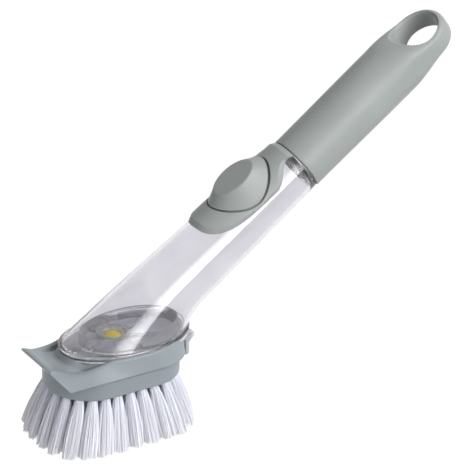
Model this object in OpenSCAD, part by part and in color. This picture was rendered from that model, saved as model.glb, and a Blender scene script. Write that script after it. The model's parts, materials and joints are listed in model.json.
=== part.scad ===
// Dish wand with a clear soap tank, a pump button, a screwed grip and a tufted brush head.
// Everything is drawn with the head level, its bristle tips on z = 0, and the grip rising
// towards +x. The last step of every piece, rest(), lays the wand on a counter as it really
// lies: on its rear bristle tips and on the underside of the grip.

/* [Tank] */
// Height of the joint between tank and grip above the bristle tips
joint_z = 127.9; // [110:1:140]
// Distance of that joint behind the soap outlet
joint_x = 113.7; // [100:1:125]
// Slope of the tank's axis above the bristle plane, in degrees
tank_pitch = 34.2; // [30:0.1:38]
// Outer radius of the tank at the joint
tank_r = 15.8; // [14.5:0.1:17]
// Half angle of the tank's taper, in degrees
tank_taper = 1.9; // [0.5:0.1:3]
// Wall of the tank
tank_wall = 2; // [1.2:0.1:2.6]
// Length of the straight barrel, before it runs out into the foot
barrel_l = 88; // [75:1:92]
// Half length of the tank's foot, inside its flange
foot_a = 37.4; // [34:0.2:39]
// Half width of the tank's foot, inside its flange
foot_b = 22.8; // [20:0.2:23.4]
// How far the middle of the foot lies behind the soap outlet
foot_x = 6.6; // [4:0.2:8]
// Height of the top of the foot's flange above the bristle tips
foot_z = 52.4; // [50:0.1:55]
// How far the flange stands out from the foot
flange_w = 1.1; // [0.8:0.1:2]
// Thickness of the flange
flange_t = 1.8; // [1.2:0.1:2.5]

/* [Neck] */
// Outer radius of the filler neck
neck_r = 12.4; // [11:0.1:12.8]
// Wall of the filler neck
neck_wall = 1.8; // [1.2:0.1:2.4]
// Length of the filler neck beyond the joint
neck_l = 13; // [10:0.5:16]
// Radial clearance between the neck and the cap
thread_gap = 0.35; // [0.2:0.05:0.6]

/* [Pump] */
// Distance of the button's middle below the joint, along the tank
button_u = 32.2; // [30:0.1:34]
// Half length of the button's hole in the bezel
button_a = 19.8; // [18:0.1:20.5]
// Half width of the button's hole in the bezel
button_b = 15.8; // [14:0.1:16.2]
// Half length of the button's flat top
button_top_a = 12.6; // [10:0.1:14]
// Half width of the button's flat top
button_top_b = 9.1; // [7:0.1:10]
// Height of the button's top above the tank's axis
button_top_h = 23.8; // [23.2:0.1:26]
// Gap all round the button
button_gap = 0.4; // [0.3:0.05:0.7]
// Travel of the button
button_travel = 2; // [1:0.1:2.4]
// Wall of the button
button_wall = 1.8; // [1.2:0.1:2.2]
// Length of the bezel from the joint
bezel_l = 65.8; // [63:0.1:68]
// How far the bezel stands proud of the tank
bezel_t = 2.2; // [1.8:0.1:3.2]
// Half angle of the bezel round the tank, beside the button, in degrees
bezel_angle = 64; // [60:1:70]
// Half angle of the bezel at its waist by the grip, in degrees
waist_angle = 32; // [28:1:44]
// Radius of the well in the tank's top that holds the diaphragm
well_r = 10; // [9:0.2:11]
// Height of the well's floor above the tank's axis
well_h = 11; // [10:0.2:12]
// Thickness of the diaphragm's rubber
diaphragm_t = 1; // [0.6:0.1:1.4]

/* [Grip] */
// Slope of the grip above the bristle plane, in degrees
grip_pitch = 35.7; // [32:0.1:40]
// Radius of the grip at the joint
grip_r = 16.2; // [15.6:0.1:17.5]
// Radius of the grip before it flattens
grip_swell_r = 16.6; // [15.6:0.1:18]
// Distance from the joint to the hanging hole
hole_s = 98.5; // [90:0.5:105]
// Radius of the hanging hole
hole_r = 11.75; // [9:0.25:12.5]
// Rounding of the hanging hole's rim
hole_round = 2.6; // [1:0.1:3.5]
// Radius of the paddle end
paddle_r = 17; // [16.5:0.1:19]
// Half thickness of the paddle end
paddle_h = 7.6; // [6:0.1:9]
// Gap between the grip's rim and the tank's shoulder
grip_gap = 0.5; // [0.3:0.1:1]
// Depth of the hollow inside the grip
grip_hollow = 72; // [50:1:74]
// Radius of the hollow inside the grip
grip_hollow_r = 12; // [9:0.25:12.5]
// Radius of the cap's seat in the grip's mouth
cap_r = 14.6; // [14.4:0.05:14.7]

/* [Head] */
// Half width of the shell's lower edge
shell_b = 26.7; // [25.8:0.1:29]
// Distance of the shell's front corners ahead of the soap outlet
shell_front = 40.7; // [39:0.1:43]
// Distance of the rear end of the shell's lower edge behind the soap outlet
shell_rear = 38.4; // [37.6:0.1:40]
// Height of the shell's lower edge above the bristle tips
shell_z = 40.8; // [40:0.1:42]
// Distance of the scraping lip ahead of the soap outlet
lip_x = 48; // [45:0.2:51]
// Half width of the scraping lip
lip_b = 15.8; // [12:0.2:18]
// Height of the scraping lip above the bristle tips
lip_z = 49.8; // [49:0.1:52]
// Depth of the scoop behind the lip
scoop_dip = 3.9; // [2:0.1:4.5]
// Depth of the block's plug inside the shell
plug_h = 1.3; // [1:0.1:1.8]
// Distance of the brush block's rear end behind the soap outlet
block_a = 36; // [35.5:0.1:37]
// Distance of the brush block's front end ahead of the soap outlet
block_front = 40; // [38:0.1:40.2]
// Half width of the brush block
block_b = 25.5; // [25:0.1:25.7]
// Height of the block's lower face, above the bristle tips
block_z = 29.8; // [29:0.1:31]
// Groove between the block and the shell
groove = 0.4; // [0.3:0.05:0.8]

/* [Bristles] */
// Tufts in the outer ring
outer_count = 26; // [20:2:28]
// Tufts in the middle ring
middle_count = 18; // [14:2:20]
// Tufts in the inner ring
inner_count = 10; // [8:2:12]
// Radius of a tuft at its root
tuft_root_r = 1.9; // [1.5:0.1:2.1]
// Radius of a tuft at its tip
tuft_tip_r = 4.1; // [3:0.1:4.4]
// Depth of a tuft's hole in the block
tuft_depth = 6; // [4:0.5:7]

/* [Valve] */
// Radius of the outlet valve's dome
valve_r = 4.75; // [4:0.25:5.5]
// Radius of the boss that holds the valve
boss_r = 9.2; // [8.5:0.1:10.5]
// Bore of the soap outlet through the block
outlet_r = 1.8; // [1:0.1:1.9]

/* [Latch] */
// Width of the latch lever
latch_w = 12; // [9:0.5:14]
// Thickness of the latch lever
latch_t = 2.2; // [1.8:0.1:2.6]
// Radius of the latch's hinge pin
pin_r = 1; // [0.8:0.05:1.2]
// Radius of the latch's thumb knob
knob_r = 3; // [2.4:0.1:3.4]
// Running clearance of the latch on its pin
pin_gap = 0.06; // [0.03:0.01:0.1]

/* [Hidden] */
$fn = 64;
eps = 0.01;
deg = 180 / PI;

// Clearance between pieces of one assembly
fit = 0.15;
// Radial clearance of a running or sliding fit
slip = 0.3;

clear_plastic = [0.86, 0.86, 0.89, 0.35];
grey_plastic = [0.55, 0.58, 0.57];
silicone_yellow = [0.85, 0.75, 0.12];
silicone_clear = [0.82, 0.83, 0.85];
nylon_white = [0.93, 0.93, 0.97];
steel = [0.72, 0.73, 0.75];

// Level of the base plate, the gasket under it and the shell's seat under that
plate_t = 1.6;
gasket_t = 0.8;
foot_bottom = foot_z - flange_t;
plate_bottom = foot_bottom - plate_t;
gasket_bottom = plate_bottom - gasket_t;
rim_h = 7;
rim_t = 1.4;

// The grip's round end lies round the middle of its hanging hole
grip_l = hole_s + paddle_r;
flat_start = grip_l * 0.6;
flat_end = grip_l * 0.88;

// Points on the tank: u runs from the joint down to the foot, and angle 0 is the top line
function unit_x(p) = [cos(p), 0, sin(p)];
function unit_z(p) = [-sin(p), 0, cos(p)];
joint = [joint_x, 0, joint_z];
function barrel_r(u) = tank_r + u * tan(tank_taper);
function barrel_point(u, t, r) =
    let (p = u > 0 ? tank_pitch : grip_pitch)
    joint - u * unit_x(tank_pitch) + r * (cos(t) * unit_z(p) + [0, sin(t), 0]);
function foot_point(t, inset) =
    [foot_x - (foot_a - inset) * cos(t), (foot_b - inset) * sin(t), foot_z];
function lead_down(t) =
    cos(tank_taper) * -unit_x(tank_pitch)
    + sin(tank_taper) * (cos(t) * unit_z(tank_pitch) + [0, sin(t), 0]);

// The skirt below the barrel is a quadratic curve along each line of the taper: it leaves
// the barrel in line with it and ends on the foot's oval
function skirt_point(k, t, inset) =
    let (a = barrel_point(barrel_l, t, barrel_r(barrel_l) - inset),
         c = foot_point(t, inset),
         b = a + 0.45 * norm(c - a) * lead_down(t))
    pow(1 - k, 2) * a + 2 * k * (1 - k) * b + k * k * c;
tank_sides = 48;
skirt_steps = 8;
function ring_angles(n) = [for (i = [0:n - 1]) 360 * i / n];
function tank_rings(start, inset, drop) = concat(
    [for (u = [start, barrel_l / 3, barrel_l * 2 / 3])
        [for (t = ring_angles(tank_sides)) barrel_point(u, t, barrel_r(u) - inset)]],
    [for (i = [0:skirt_steps])
        [for (t = ring_angles(tank_sides)) skirt_point(i / skirt_steps, t, inset)]],
    [[for (t = ring_angles(tank_sides)) foot_point(t, inset) - [0, 0, drop]]]);

// A closed solid through a list of rings that all have the same number of points. Its two
// ends are flat, or else fans of triangles round the middle of the end ring.
module loft(rings, fan = false) {
    n = len(rings[0]);
    m = len(rings);
    points = [for (ring = rings) each ring];
    centres = [for (ring = [rings[0], rings[m - 1]]) [for (k = [0:2]) mean([for (p = ring) p[k]])]];
    first = fan ? [for (i = [0:n - 1]) [m * n, i, (i + 1) % n]] : [[for (i = [0:n - 1]) i]];
    last = fan ? [for (i = [0:n - 1]) [m * n + 1, (m - 1) * n + (i + 1) % n, (m - 1) * n + i]]
        : [[for (i = [0:n - 1]) (m - 1) * n + n - 1 - i]];
    sides = [for (j = [0:m - 2]) for (i = [0:n - 1])
        let (a = j * n + i, b = j * n + (i + 1) % n)
        each [[a, a + n, b + n], [a, b + n, b]]];
    polyhedron(fan ? concat(points, centres) : points, concat(first, last, sides), convexity = 6);
}
function mean(v) = v * [for (q = v) 1] / len(v);

// The tank's frame: x runs from the joint down the tank's axis, and z points to the button
module on_tank(u = 0, h = 0) {
    translate(joint) rotate([0, -tank_pitch, 0]) rotate([0, 0, 180]) translate([u, 0, h])
        children();
}

// The grip's frame: z runs from the joint along the grip, and x points away from the button
module on_grip(s = 0) {
    translate(joint) rotate([0, 90 - grip_pitch, 0]) translate([0, 0, s]) children();
}

// An upright oval disc round the middle of the foot
module oval(a, b, h) {
    scale([1, b / a, 1]) cylinder(r = a, h = h, $fn = 96);
}

// Rest pose: the angle that brings the lowest line of the grip down to the counter
function tuft_edge(root, tip, z) =
    let (lean = atan((tip - root) / z), spread = atan((tuft_tip_r - tuft_root_r) / z))
    root + tuft_root_r / cos(lean + spread) * cos(spread) + z * tan(lean + spread);
block_half = (block_a + block_front) / 2;
block_mid = (block_a - block_front) / 2;
outer_tip_a = block_half + 4;
tip_shift = -3;
rear_edge = tip_shift + tuft_edge(block_a - 4.5 - tip_shift, outer_tip_a, block_z);
front_edge = tip_shift - tuft_edge(block_front - 4.5 + tip_shift, outer_tip_a, block_z);
function grip_xz(s, z) = joint + s * unit_x(grip_pitch) + z * unit_z(grip_pitch);
grip_stations = [for (i = [0:120]) i * grip_l / 120];
function slope_to(p) = atan2(p[2], p[0] - rear_edge);
lie = min([for (s = grip_stations) slope_to(grip_xz(s, -grip_top(s, 0)))]);
function along(p) = p[0] * cos(lie) + p[2] * sin(lie);
reach = max([for (s = grip_stations) for (k = [-1, 1]) along(grip_xz(s, k * grip_top(s, 0)))]);
middle = (reach + front_edge * cos(lie)) / 2;

module rest() {
    translate([-middle, 0, rear_edge * sin(lie)]) rotate([0, lie, 0]) children();
}

// Half width of the grip, and the height of its upper face above the grip's axis
function smooth(k) = let (c = min(max(k, 0), 1)) c * c * (3 - 2 * c);
function round_r(s) = grip_r + (grip_swell_r - grip_r) * smooth(s / (grip_l * 0.6));
function flatness(s) = smooth((s - flat_start) / (flat_end - flat_start));
function grip_h(s) = round_r(s) + (paddle_h - round_r(s)) * flatness(s);
function grip_b(s) = s > hole_s ? sqrt(max(pow(paddle_r, 2) - pow(s - hole_s, 2), 0))
    : round_r(s) + (paddle_r - round_r(s)) * flatness(s);
function grip_power(s) = 2 + 0.9 * flatness(s);
function grip_top(s, y) =
    let (q = s > hole_s ? norm([s - hole_s, y]) / paddle_r : abs(y) / grip_b(s),
         p = grip_power(s))
    grip_h(s) * pow(max(1 - pow(min(q, 1), p), 0), 1 / p);
grip_sides = 44;
function grip_ring(s) = [for (t = ring_angles(grip_sides))
    let (y = -grip_b(s) * sin(t), z = grip_top(s, y))
    [s, y, cos(t) < 0 ? -z : z]];

module at_joint_along_grip() {
    translate(joint) rotate([0, -grip_pitch, 0]) children();
}

// Bezel: half angle round the tank, and height above the tank, at a distance u below the joint
function bezel_half(u) =
    let (wide = waist_angle + (bezel_angle - waist_angle) * smooth((u - 3) / 17),
         nose = pow(max(1 - pow(max(u - 30, 0) / (bezel_l - 30), 2.35), 0), 0.34),
         flare = 6 * pow(max(1 - u / 4, 0), 2))
    wide * nose + flare;
function bezel_proud(u) =
    1.8 + (bezel_t - 1.8) * smooth(u / 18) - 0.4 * smooth((u - bezel_l + 14) / 14);
bezel_edge = 0.8;
bezel_arc = 9;
function bezel_ring(u) =
    let (half = max(bezel_half(u), 1.2), low = (barrel_r(u) + 0.05) / cos(half / (bezel_arc - 1)),
         top = barrel_r(u) + bezel_proud(u), cut = min(bezel_edge / top * deg, half / 2),
         arc = [for (i = [0:bezel_arc - 1]) -1 + 2 * i / (bezel_arc - 1)])
    concat(
        [for (k = arc) barrel_point(u + eps, -half * k, low)],
        [barrel_point(u + eps, -half, top - bezel_edge)],
        [barrel_point(u + eps, -half + 0.35 * cut, top - 0.35 * bezel_edge)],
        [for (k = arc) barrel_point(u + eps, (half - cut) * k, top)],
        [barrel_point(u + eps, half - 0.35 * cut, top - 0.35 * bezel_edge)],
        [barrel_point(u + eps, half, top - bezel_edge)]);
bezel_stations = concat(
    [for (i = [0:21]) 0.3 + (bezel_l - 6.3) * i / 21],
    [for (k = [0.3, 0.55, 0.75, 0.88, 0.95, 0.985]) bezel_l - 6 + 6 * k]);

// Button: height of the bezel's surface above a point beside the axis
bezel_top_r = barrel_r(button_u) + bezel_t;
function bezel_h(y) = sqrt(pow(bezel_top_r, 2) - y * y);
button_sides = 48;
function button_ring(a, b, h) = [for (t = ring_angles(button_sides)) [a * cos(t), b * sin(t), h]];
function bezel_line(a, b, lift) = [for (p = button_ring(a, b, lift)) p + [0, 0, bezel_h(p[1])]];
skirt_a = button_a - button_gap;
skirt_b = button_b - button_gap;

// Shell outlines, from the middle of the front (k = 0) round one side to the middle of the
// rear (k = 1). The corner of the front lies at k = 0.15, and the side ends at k = 0.6.
corner_k = 0.15;
side_k = 0.6;
flange_a = foot_a + flange_w + 0.6;
flange_b = foot_b + flange_w + 0.6;
rear_a = shell_rear + 1.8 - foot_x;
meet_x = -12;
function rear_angle(k) = 90 * (k - side_k) / (1 - side_k);
function lower_edge(k) =
    let (c = rear_angle(k), q = (k - corner_k) / (side_k - corner_k))
    k < corner_k ? [-shell_front, shell_b * k / corner_k, shell_z]
    : k < side_k ? [-shell_front + (14 + shell_front) * q, shell_b, shell_z]
    : [14 + (shell_rear - 14) * pow(sin(c), 0.8), shell_b * pow(cos(c), 0.8), shell_z];
function flange_y(x) = flange_b * sqrt(max(1 - pow((x - foot_x) / flange_a, 2), 0));
meet_angle = acos((meet_x - foot_x) / flange_a);
function ridge_point(x) =
    let (q = (x + lip_x) / (meet_x + lip_x))
    [x, lip_b + (flange_y(meet_x) - lip_b) * q,
        lip_z + (foot_bottom - 0.1 - lip_z) * q - scoop_dip * sin(180 * pow(q, 0.85))];
function upper_edge(k) = k < corner_k ? [-lip_x, lip_b * k / corner_k, lip_z]
    : k < 0.42 ? ridge_point(-lip_x + (meet_x + lip_x) * (k - corner_k) / (0.42 - corner_k))
    : let (q = meet_angle * (1 - (k - 0.42) / 0.58))
      [foot_x + (q < 90 ? rear_a : flange_a) * cos(q), flange_b * sin(q), foot_bottom - 0.1];
function level(k, h) = lower_edge(k) + (upper_edge(k) - lower_edge(k)) * h;
function inward(k, d, rise) =
    let (p = upper_edge(k), c = [foot_x - 8, 0, p[2]], v = c - p)
    p + v * (d / norm(v)) + [0, 0, rise];
outline_k = concat([0, 0.075], [for (i = [0:12]) corner_k + 0.27 * i / 12],
    [for (i = [1:17]) 0.42 + 0.58 * i / 17]);
function round_trip(points) = concat([for (p = points) [p[0], -p[1], p[2]]],
    [for (i = [len(points) - 2:-1:1]) points[i]]);
function shell_seat(k, q) =
    let (p = inward(k, 1.2, 0), c = [foot_x + 4, 0, gasket_bottom + 0.4])
    p + (c - p) * q;
shell_rings = concat(
    [for (h = [0, 0.3, 0.6, 0.88]) round_trip([for (k = outline_k) level(k, h)])],
    [round_trip([for (k = outline_k) inward(k, 0.35, -0.35)])],
    [round_trip([for (k = outline_k) inward(k, 1.2, 0)])],
    [for (q = [0.3, 0.6, 0.9]) round_trip([for (k = outline_k) shell_seat(k, q)])]);

// A rounded plan: front corners of radius f and rear corners of radius r
module block_plan(grow) {
    f = 20 + grow;
    r = 22 + grow;
    front = block_front + grow;
    a = block_a + grow;
    b = block_b + grow;
    for (k = [-1, 1]) {
        translate([-front + f, k * (b - f)]) circle(r = f);
        translate([a - r, k * (b - r)]) circle(r = r);
    }
    translate([-front + f, -b]) square([front + a - f - r, 2 * b]);
    translate([-front, -b + f]) square([front + a - 1, 2 * (b - f)]);
    translate([0, -b + r]) square([a, 2 * (b - r)]);
}

// Tuft rows: points spread evenly round a rounded rectangle of half sizes a and b
function quarter(t, a, b, r) =
    let (side = b - r, bend = r * PI / 2, q = (t - side) / r * deg)
    t < side ? [a, t] : t < side + bend ? [a - r + r * cos(q), b - r + r * sin(q)]
    : [a - r - (t - side - bend), b];
function track(k, a, b, r) =
    let (q = a + b - 2 * r + r * PI / 2, s = k * 4 * q, n = floor(s / q + 1e-6) % 4,
         t = s - floor(s / q + 1e-6) * q, p = quarter(n % 2 == 0 ? t : q - t, a, b, r))
    [(n == 1 || n == 2 ? -1 : 1) * p[0], (n > 1 ? -1 : 1) * p[1]];
outer_row = [block_half - 4.5, block_b - 4.5, 14, outer_tip_a, block_b + 4.7, 22];
middle_row = [block_half - 12, block_b - 12, 8, block_half - 4.5, block_b - 6, 14];
inner_row = [block_half - 19.5, block_b - 19.5, 6, block_half - 16.5, block_b - 17, 8.5];

module aim(k, row) {
    root = track(k, row[0], row[1], row[2]) + [block_mid, 0];
    tip = track(k, row[3], row[4], row[5]) + [tip_shift, 0];
    d = [tip[0] - root[0], tip[1] - root[1], -block_z];
    translate([root[0], root[1], block_z])
        rotate([0, acos(d[2] / norm(d)), atan2(d[1], d[0])]) children();
}

module tuft_row(row, count) {
    length = block_z * 1.2;
    rise = (tuft_tip_r - tuft_root_r) / block_z;
    color(nylon_white) intersection() {
        union() for (i = [0:count - 1]) aim((i + 0.5) / count, row) union() {
            translate([0, 0, -tuft_depth + 1.6]) cylinder(r = tuft_root_r, h = tuft_depth, $fn = 24);
            cylinder(r1 = tuft_root_r, r2 = tuft_root_r + rise * length, h = length, $fn = 24);
        }
        translate([-100, -100, 0]) cube([200, 200, 60]);
    }
}

module tuft_holes(row, count) {
    for (i = [0:count - 1]) aim((i + 0.5) / count, row)
        translate([0, 0, -tuft_depth]) cylinder(r = tuft_root_r + 0.1, h = tuft_depth + 4, $fn = 24);
}

module anchors(row, count) {
    for (i = [0:count - 1]) aim((i + 0.5) / count, row)
        translate([-tuft_root_r + 0.3, -0.25, -tuft_depth + 0.1])
            cube([2 * tuft_root_r - 0.6, 0.5, 1.4]);
}

// Latch hinge, in a pocket of the shell's rear end under the flange's overhang
pin_x = shell_rear + 4.8;
pin_z = shell_z + 4.9;
knob_z = pin_z - 6.1;
latch_low = block_z + 0.6;
ear_t = 1.8;
ear_y = latch_w / 2 + slip;
pocket_x = pin_x - 3.1;

module tank() {
    color(clear_plastic) difference() {
        union() {
            loft(tank_rings(0, 0, flange_t));
            translate([foot_x, 0, foot_bottom])
                oval(foot_a + flange_w, foot_b + flange_w, flange_t);
            on_grip(-2) cylinder(r = neck_r, h = neck_l + 2);
        }
        difference() {
            loft(tank_rings(tank_wall, tank_wall, flange_t + 1));
            on_tank(button_u, well_h - tank_wall) cylinder(r = well_r + tank_wall, h = 20);
        }
        on_grip(-tank_wall - 3) cylinder(r = neck_r - neck_wall, h = neck_l + 10);
        on_tank(button_u, well_h) cylinder(r = well_r, h = 20);
        on_tank(button_u, 0) cylinder(r = well_r - 3, h = 20);
    }
}

module base_plate() {
    rim_a = foot_a - tank_wall - 6.4;
    rim_b = foot_b - tank_wall - 2.6;
    boss_h = 4.6;
    color(clear_plastic) difference() {
        union() {
            translate([foot_x, 0, plate_bottom])
                oval(foot_a + flange_w - 0.6, foot_b + flange_w - 0.6, plate_t);
            translate([foot_x + 3, 0, foot_bottom - eps]) difference() {
                oval(rim_a, rim_b, rim_h);
                translate([0, 0, -1]) oval(rim_a - rim_t, rim_b - rim_t, rim_h + 2);
            }
            translate([0, 0, plate_bottom]) cylinder(r = boss_r, h = plate_t + boss_h);
            intersection() {
                translate([0, 0, foot_bottom - eps])
                    for (q = [22.5:45:337.5]) rotate([0, 0, q])
                        translate([boss_r - 1, -0.6, 0]) cube([40, 1.2, 2.4]);
                translate([foot_x + 3, 0, foot_bottom - 1]) oval(rim_a - 0.7, rim_b - 0.7, 6);
            }
        }
        translate([0, 0, plate_bottom - 1]) cylinder(r = 3, h = 20);
        translate([0, 0, foot_bottom]) cylinder(r = boss_r - 1.8, h = 20);
    }
}

module outlet_valve() {
    color(silicone_yellow) translate([0, 0, foot_bottom]) difference() {
        union() {
            translate([0, 0, 0.05]) cylinder(r = boss_r - 1.8 - fit, h = 1);
            cylinder(r = valve_r, h = 3.8);
            translate([0, 0, -plate_t - 1.2]) cylinder(r = 2.8, h = plate_t + 2);
        }
        translate([-1.4, -0.15, -5]) cube([2.8, 0.3, 10]);
    }
}

module valve_ring() {
    color(clear_plastic) translate([0, 0, foot_bottom + 1.1]) difference() {
        cylinder(r = boss_r - 1.8 - fit / 2, h = 1.7);
        translate([0, 0, -1]) cylinder(r = valve_r + fit, h = 5);
    }
}

module foot_gasket() {
    color(silicone_clear) translate([foot_x, 0, gasket_bottom]) difference() {
        oval(foot_a - 1, foot_b - 1, gasket_t);
        translate([0, 0, -1]) oval(foot_a - 4, foot_b - 4, gasket_t + 2);
    }
}

module scraper_shell() {
    color(grey_plastic) {
        difference() {
            loft(shell_rings, fan = true);
            translate([foot_x, 0, gasket_bottom])
                oval(foot_a + flange_w - 0.6 + fit, foot_b + flange_w - 0.6 + fit, 20);
            translate([0, 0, shell_z - 1]) linear_extrude(height = plug_h + 1.2) block_plan(-2.8);
            cylinder(r = 3.4, h = 100);
            translate([pocket_x, -ear_y, 0]) cube([20, 2 * ear_y, 100]);
        }
        latch_ears();
    }
}

module latch_ears() {
    for (k = [-1, 1]) translate([0, k * (ear_y + ear_t / 2) + ear_t / 2, 0]) difference() {
        union() {
            translate([pin_x, 0, pin_z]) rotate([90, 0, 0]) cylinder(r = 2.4, h = ear_t);
            translate([pin_x - 5.5, -ear_t, pin_z - 2.4]) cube([5.5, ear_t, 4.8]);
        }
        translate([pin_x, 50, pin_z]) rotate([90, 0, 0]) cylinder(r = pin_r, h = 100);
    }
}

module brush_block() {
    color(grey_plastic) difference() {
        union() {
            translate([0, 0, block_z + 1]) linear_extrude(height = shell_z - groove - block_z - 1)
                block_plan(0);
            translate([0, 0, block_z]) linear_extrude(height = 1.01) block_plan(-0.7);
            translate([0, 0, shell_z - groove - eps]) linear_extrude(height = plug_h)
                block_plan(-2.8 - fit);
        }
        tuft_holes(outer_row, outer_count);
        tuft_holes(middle_row, middle_count);
        tuft_holes(inner_row, inner_count);
        cylinder(r = outlet_r, h = 60);
        translate([block_a - 2, -ear_y, latch_low + 2.4]) cube([10, 2 * ear_y, 4]);
    }
}

module outer_tufts() {
    tuft_row(outer_row, outer_count);
}

module middle_tufts() {
    tuft_row(middle_row, middle_count);
}

module inner_tufts() {
    tuft_row(inner_row, inner_count);
}

module tuft_anchors() {
    color(steel) {
        anchors(outer_row, outer_count);
        anchors(middle_row, middle_count);
        anchors(inner_row, inner_count);
    }
}

module latch() {
    hook_z = latch_low + 3;
    color(clear_plastic) difference() {
        union() {
            translate([pin_x, latch_w / 2, pin_z]) rotate([90, 0, 0]) cylinder(r = 2.2, h = latch_w);
            translate([pin_x - latch_t / 2, -latch_w / 2, hook_z])
                cube([latch_t, latch_w, pin_z - hook_z]);
            translate([pin_x - latch_t / 2, 0, hook_z]) rotate([0, 90, 0]) intersection() {
                scale([0.5, 1, 1]) cylinder(r = latch_w / 2, h = latch_t);
                translate([0, -20, -1]) cube([20, 40, 10]);
            }
            translate([block_a - 1.4, -latch_w / 2 + 1, hook_z + 0.6])
                cube([pin_x - block_a + 1.4, latch_w - 2, 1.5]);
            translate([pin_x, 0, knob_z]) rotate([0, 90, 0])
                cylinder(r = knob_r, h = latch_t / 2 + 3.2);
        }
        translate([pin_x, 50, pin_z]) rotate([90, 0, 0]) cylinder(r = pin_r + pin_gap, h = 100);
        translate([pin_x - 5, -2, pin_z - 3]) cube([10, 4, 10]);
    }
}

module latch_pin() {
    length = 2 * (ear_y + ear_t);
    color(steel) translate([pin_x, length / 2, pin_z]) rotate([90, 0, 0])
        cylinder(r = pin_r, h = length);
}

module latch_spring() {
    wire = 0.5;
    color(steel) {
        for (i = [0:4]) translate([pin_x, 1.7 - 0.7 * i, pin_z]) rotate([90, 0, 0]) difference() {
            cylinder(r = pin_r + 0.15 + wire, h = wire);
            translate([0, 0, -1]) cylinder(r = pin_r + 0.15, h = 3);
        }
        translate([pin_x - pin_r - 0.15 - wire, -1.6, pin_z]) cube([wire, wire, 2]);
        translate([pin_x - pin_r - 0.15 - wire, -1.6, pin_z - wire]) cube([wire, 3.3, wire]);
    }
}

module button_bezel() {
    color(grey_plastic) difference() {
        loft([for (u = bezel_stations) bezel_ring(u)]);
        on_tank(button_u, 0)
            loft([for (h = [4, 40]) [for (t = ring_angles(72)) [button_a * cos(t), button_b * sin(t), h]]]);
    }
}

module diaphragm() {
    color(silicone_clear) on_tank(button_u, well_h) difference() {
        union() {
            cylinder(r = well_r - fit, h = diaphragm_t);
            cylinder(r = well_r - 4, h = 3.6);
        }
        translate([0, 0, -1]) cylinder(r = well_r - 4 - diaphragm_t, h = 4.6 - diaphragm_t);
    }
}

module diaphragm_ring() {
    color(grey_plastic) on_tank(button_u, well_h + diaphragm_t) difference() {
        cylinder(r = well_r - fit / 2, h = 2);
        translate([0, 0, -1]) cylinder(r = well_r - 3.4, h = 4);
    }
}

module button() {
    post_end = well_h + 3.6 + button_travel + slip;
    inner_a = skirt_a - button_wall;
    inner_b = skirt_b - button_wall;
    top_a = button_top_a - button_wall * 0.9;
    top_b = button_top_b - button_wall * 0.9;
    ceiling = button_top_h - button_wall;
    color(grey_plastic) on_tank(button_u, 0) {
        difference() {
            loft([button_ring(skirt_a, skirt_b, 5),
                bezel_line(skirt_a, skirt_b, 0.4),
                bezel_line(skirt_a - 0.5, skirt_b - 0.5, 0.9),
                button_ring(button_top_a + 0.6, button_top_b + 0.6, button_top_h - 0.6),
                button_ring(button_top_a - 0.6, button_top_b - 0.6, button_top_h)]);
            loft([button_ring(inner_a, inner_b, 3),
                bezel_line(inner_a, inner_b, -button_wall - 0.2),
                button_ring(top_a, top_b, ceiling)]);
            translate([-40, 0, button_travel]) rotate([0, 90, 0])
                cylinder(r = barrel_r(button_u + button_a) + slip, h = 80);
        }
        translate([0, 0, post_end]) cylinder(r = 3.5, h = ceiling - post_end + 0.4);
    }
}

module grip() {
    color(grey_plastic) difference() {
        at_joint_along_grip() loft(concat(
            [for (i = [0:9]) grip_ring(grip_gap + (flat_start - grip_gap) * i / 9)],
            [for (i = [1:10]) grip_ring(flat_start + (hole_s - flat_start) * i / 10)],
            [for (a = [10:10:80]) grip_ring(hole_s + paddle_r * sin(a))],
            [grip_ring(hole_s + paddle_r * 0.9995)]));
        on_grip(-1) cylinder(r = cap_r, h = neck_l + 5.6);
        on_grip(neck_l + 4) cylinder(r = grip_hollow_r, h = grip_hollow - neck_l - 4);
        hanging_hole();
    }
}

// The hanging hole crosses the paddle and opens into a rounded rim on both faces
module hanging_hole() {
    arc = [for (i = [0:6]) let (q = 15 * i)
        [hole_r + hole_round * (1 - cos(q)), paddle_h - hole_round + hole_round * sin(q)]];
    at_joint_along_grip() translate([hole_s, 0, 0]) {
        cylinder(r = hole_r, h = 60, center = true);
        for (k = [0, 1]) mirror([0, 0, k]) rotate_extrude()
            polygon(concat([[0, paddle_h - hole_round]], arc,
                [[hole_r + hole_round, paddle_h + 4], [0, paddle_h + 4]]));
    }
}

module grip_cap() {
    color(grey_plastic) difference() {
        on_grip(grip_gap + 0.5) cylinder(r = cap_r - fit / 2, h = neck_l + 3.9 - grip_gap);
        on_grip(-5) cylinder(r = neck_r + thread_gap, h = neck_l + 6.4);
    }
}

module neck_washer() {
    color(silicone_clear) on_grip(neck_l + 0.05) difference() {
        cylinder(r = neck_r + 0.1, h = 1.3);
        translate([0, 0, -1]) cylinder(r = neck_r - neck_wall, h = 4);
    }
}

rest() tank();
rest() base_plate();
rest() outlet_valve();
rest() valve_ring();
rest() foot_gasket();
rest() scraper_shell();
rest() brush_block();
rest() outer_tufts();
rest() middle_tufts();
rest() inner_tufts();
rest() tuft_anchors();
rest() latch();
rest() latch_pin();
rest() latch_spring();
rest() button_bezel();
rest() diaphragm();
rest() diaphragm_ring();
rest() button();
rest() grip();
rest() grip_cap();
rest() neck_washer();
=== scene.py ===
"""The visible surfaces, finishes, camera and light of a soap dispensing dish wand.

Lengths are in millimetres in the wand's own frame: the head is level, its bristle tips lie on
z = 0, x runs from the soap outlet to the grip, and y runs across. lay() turns that frame into
the resting one, in metres.
"""
import json

import bmesh
import bpy
import numpy as np
from mathutils import Matrix, Vector


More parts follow.
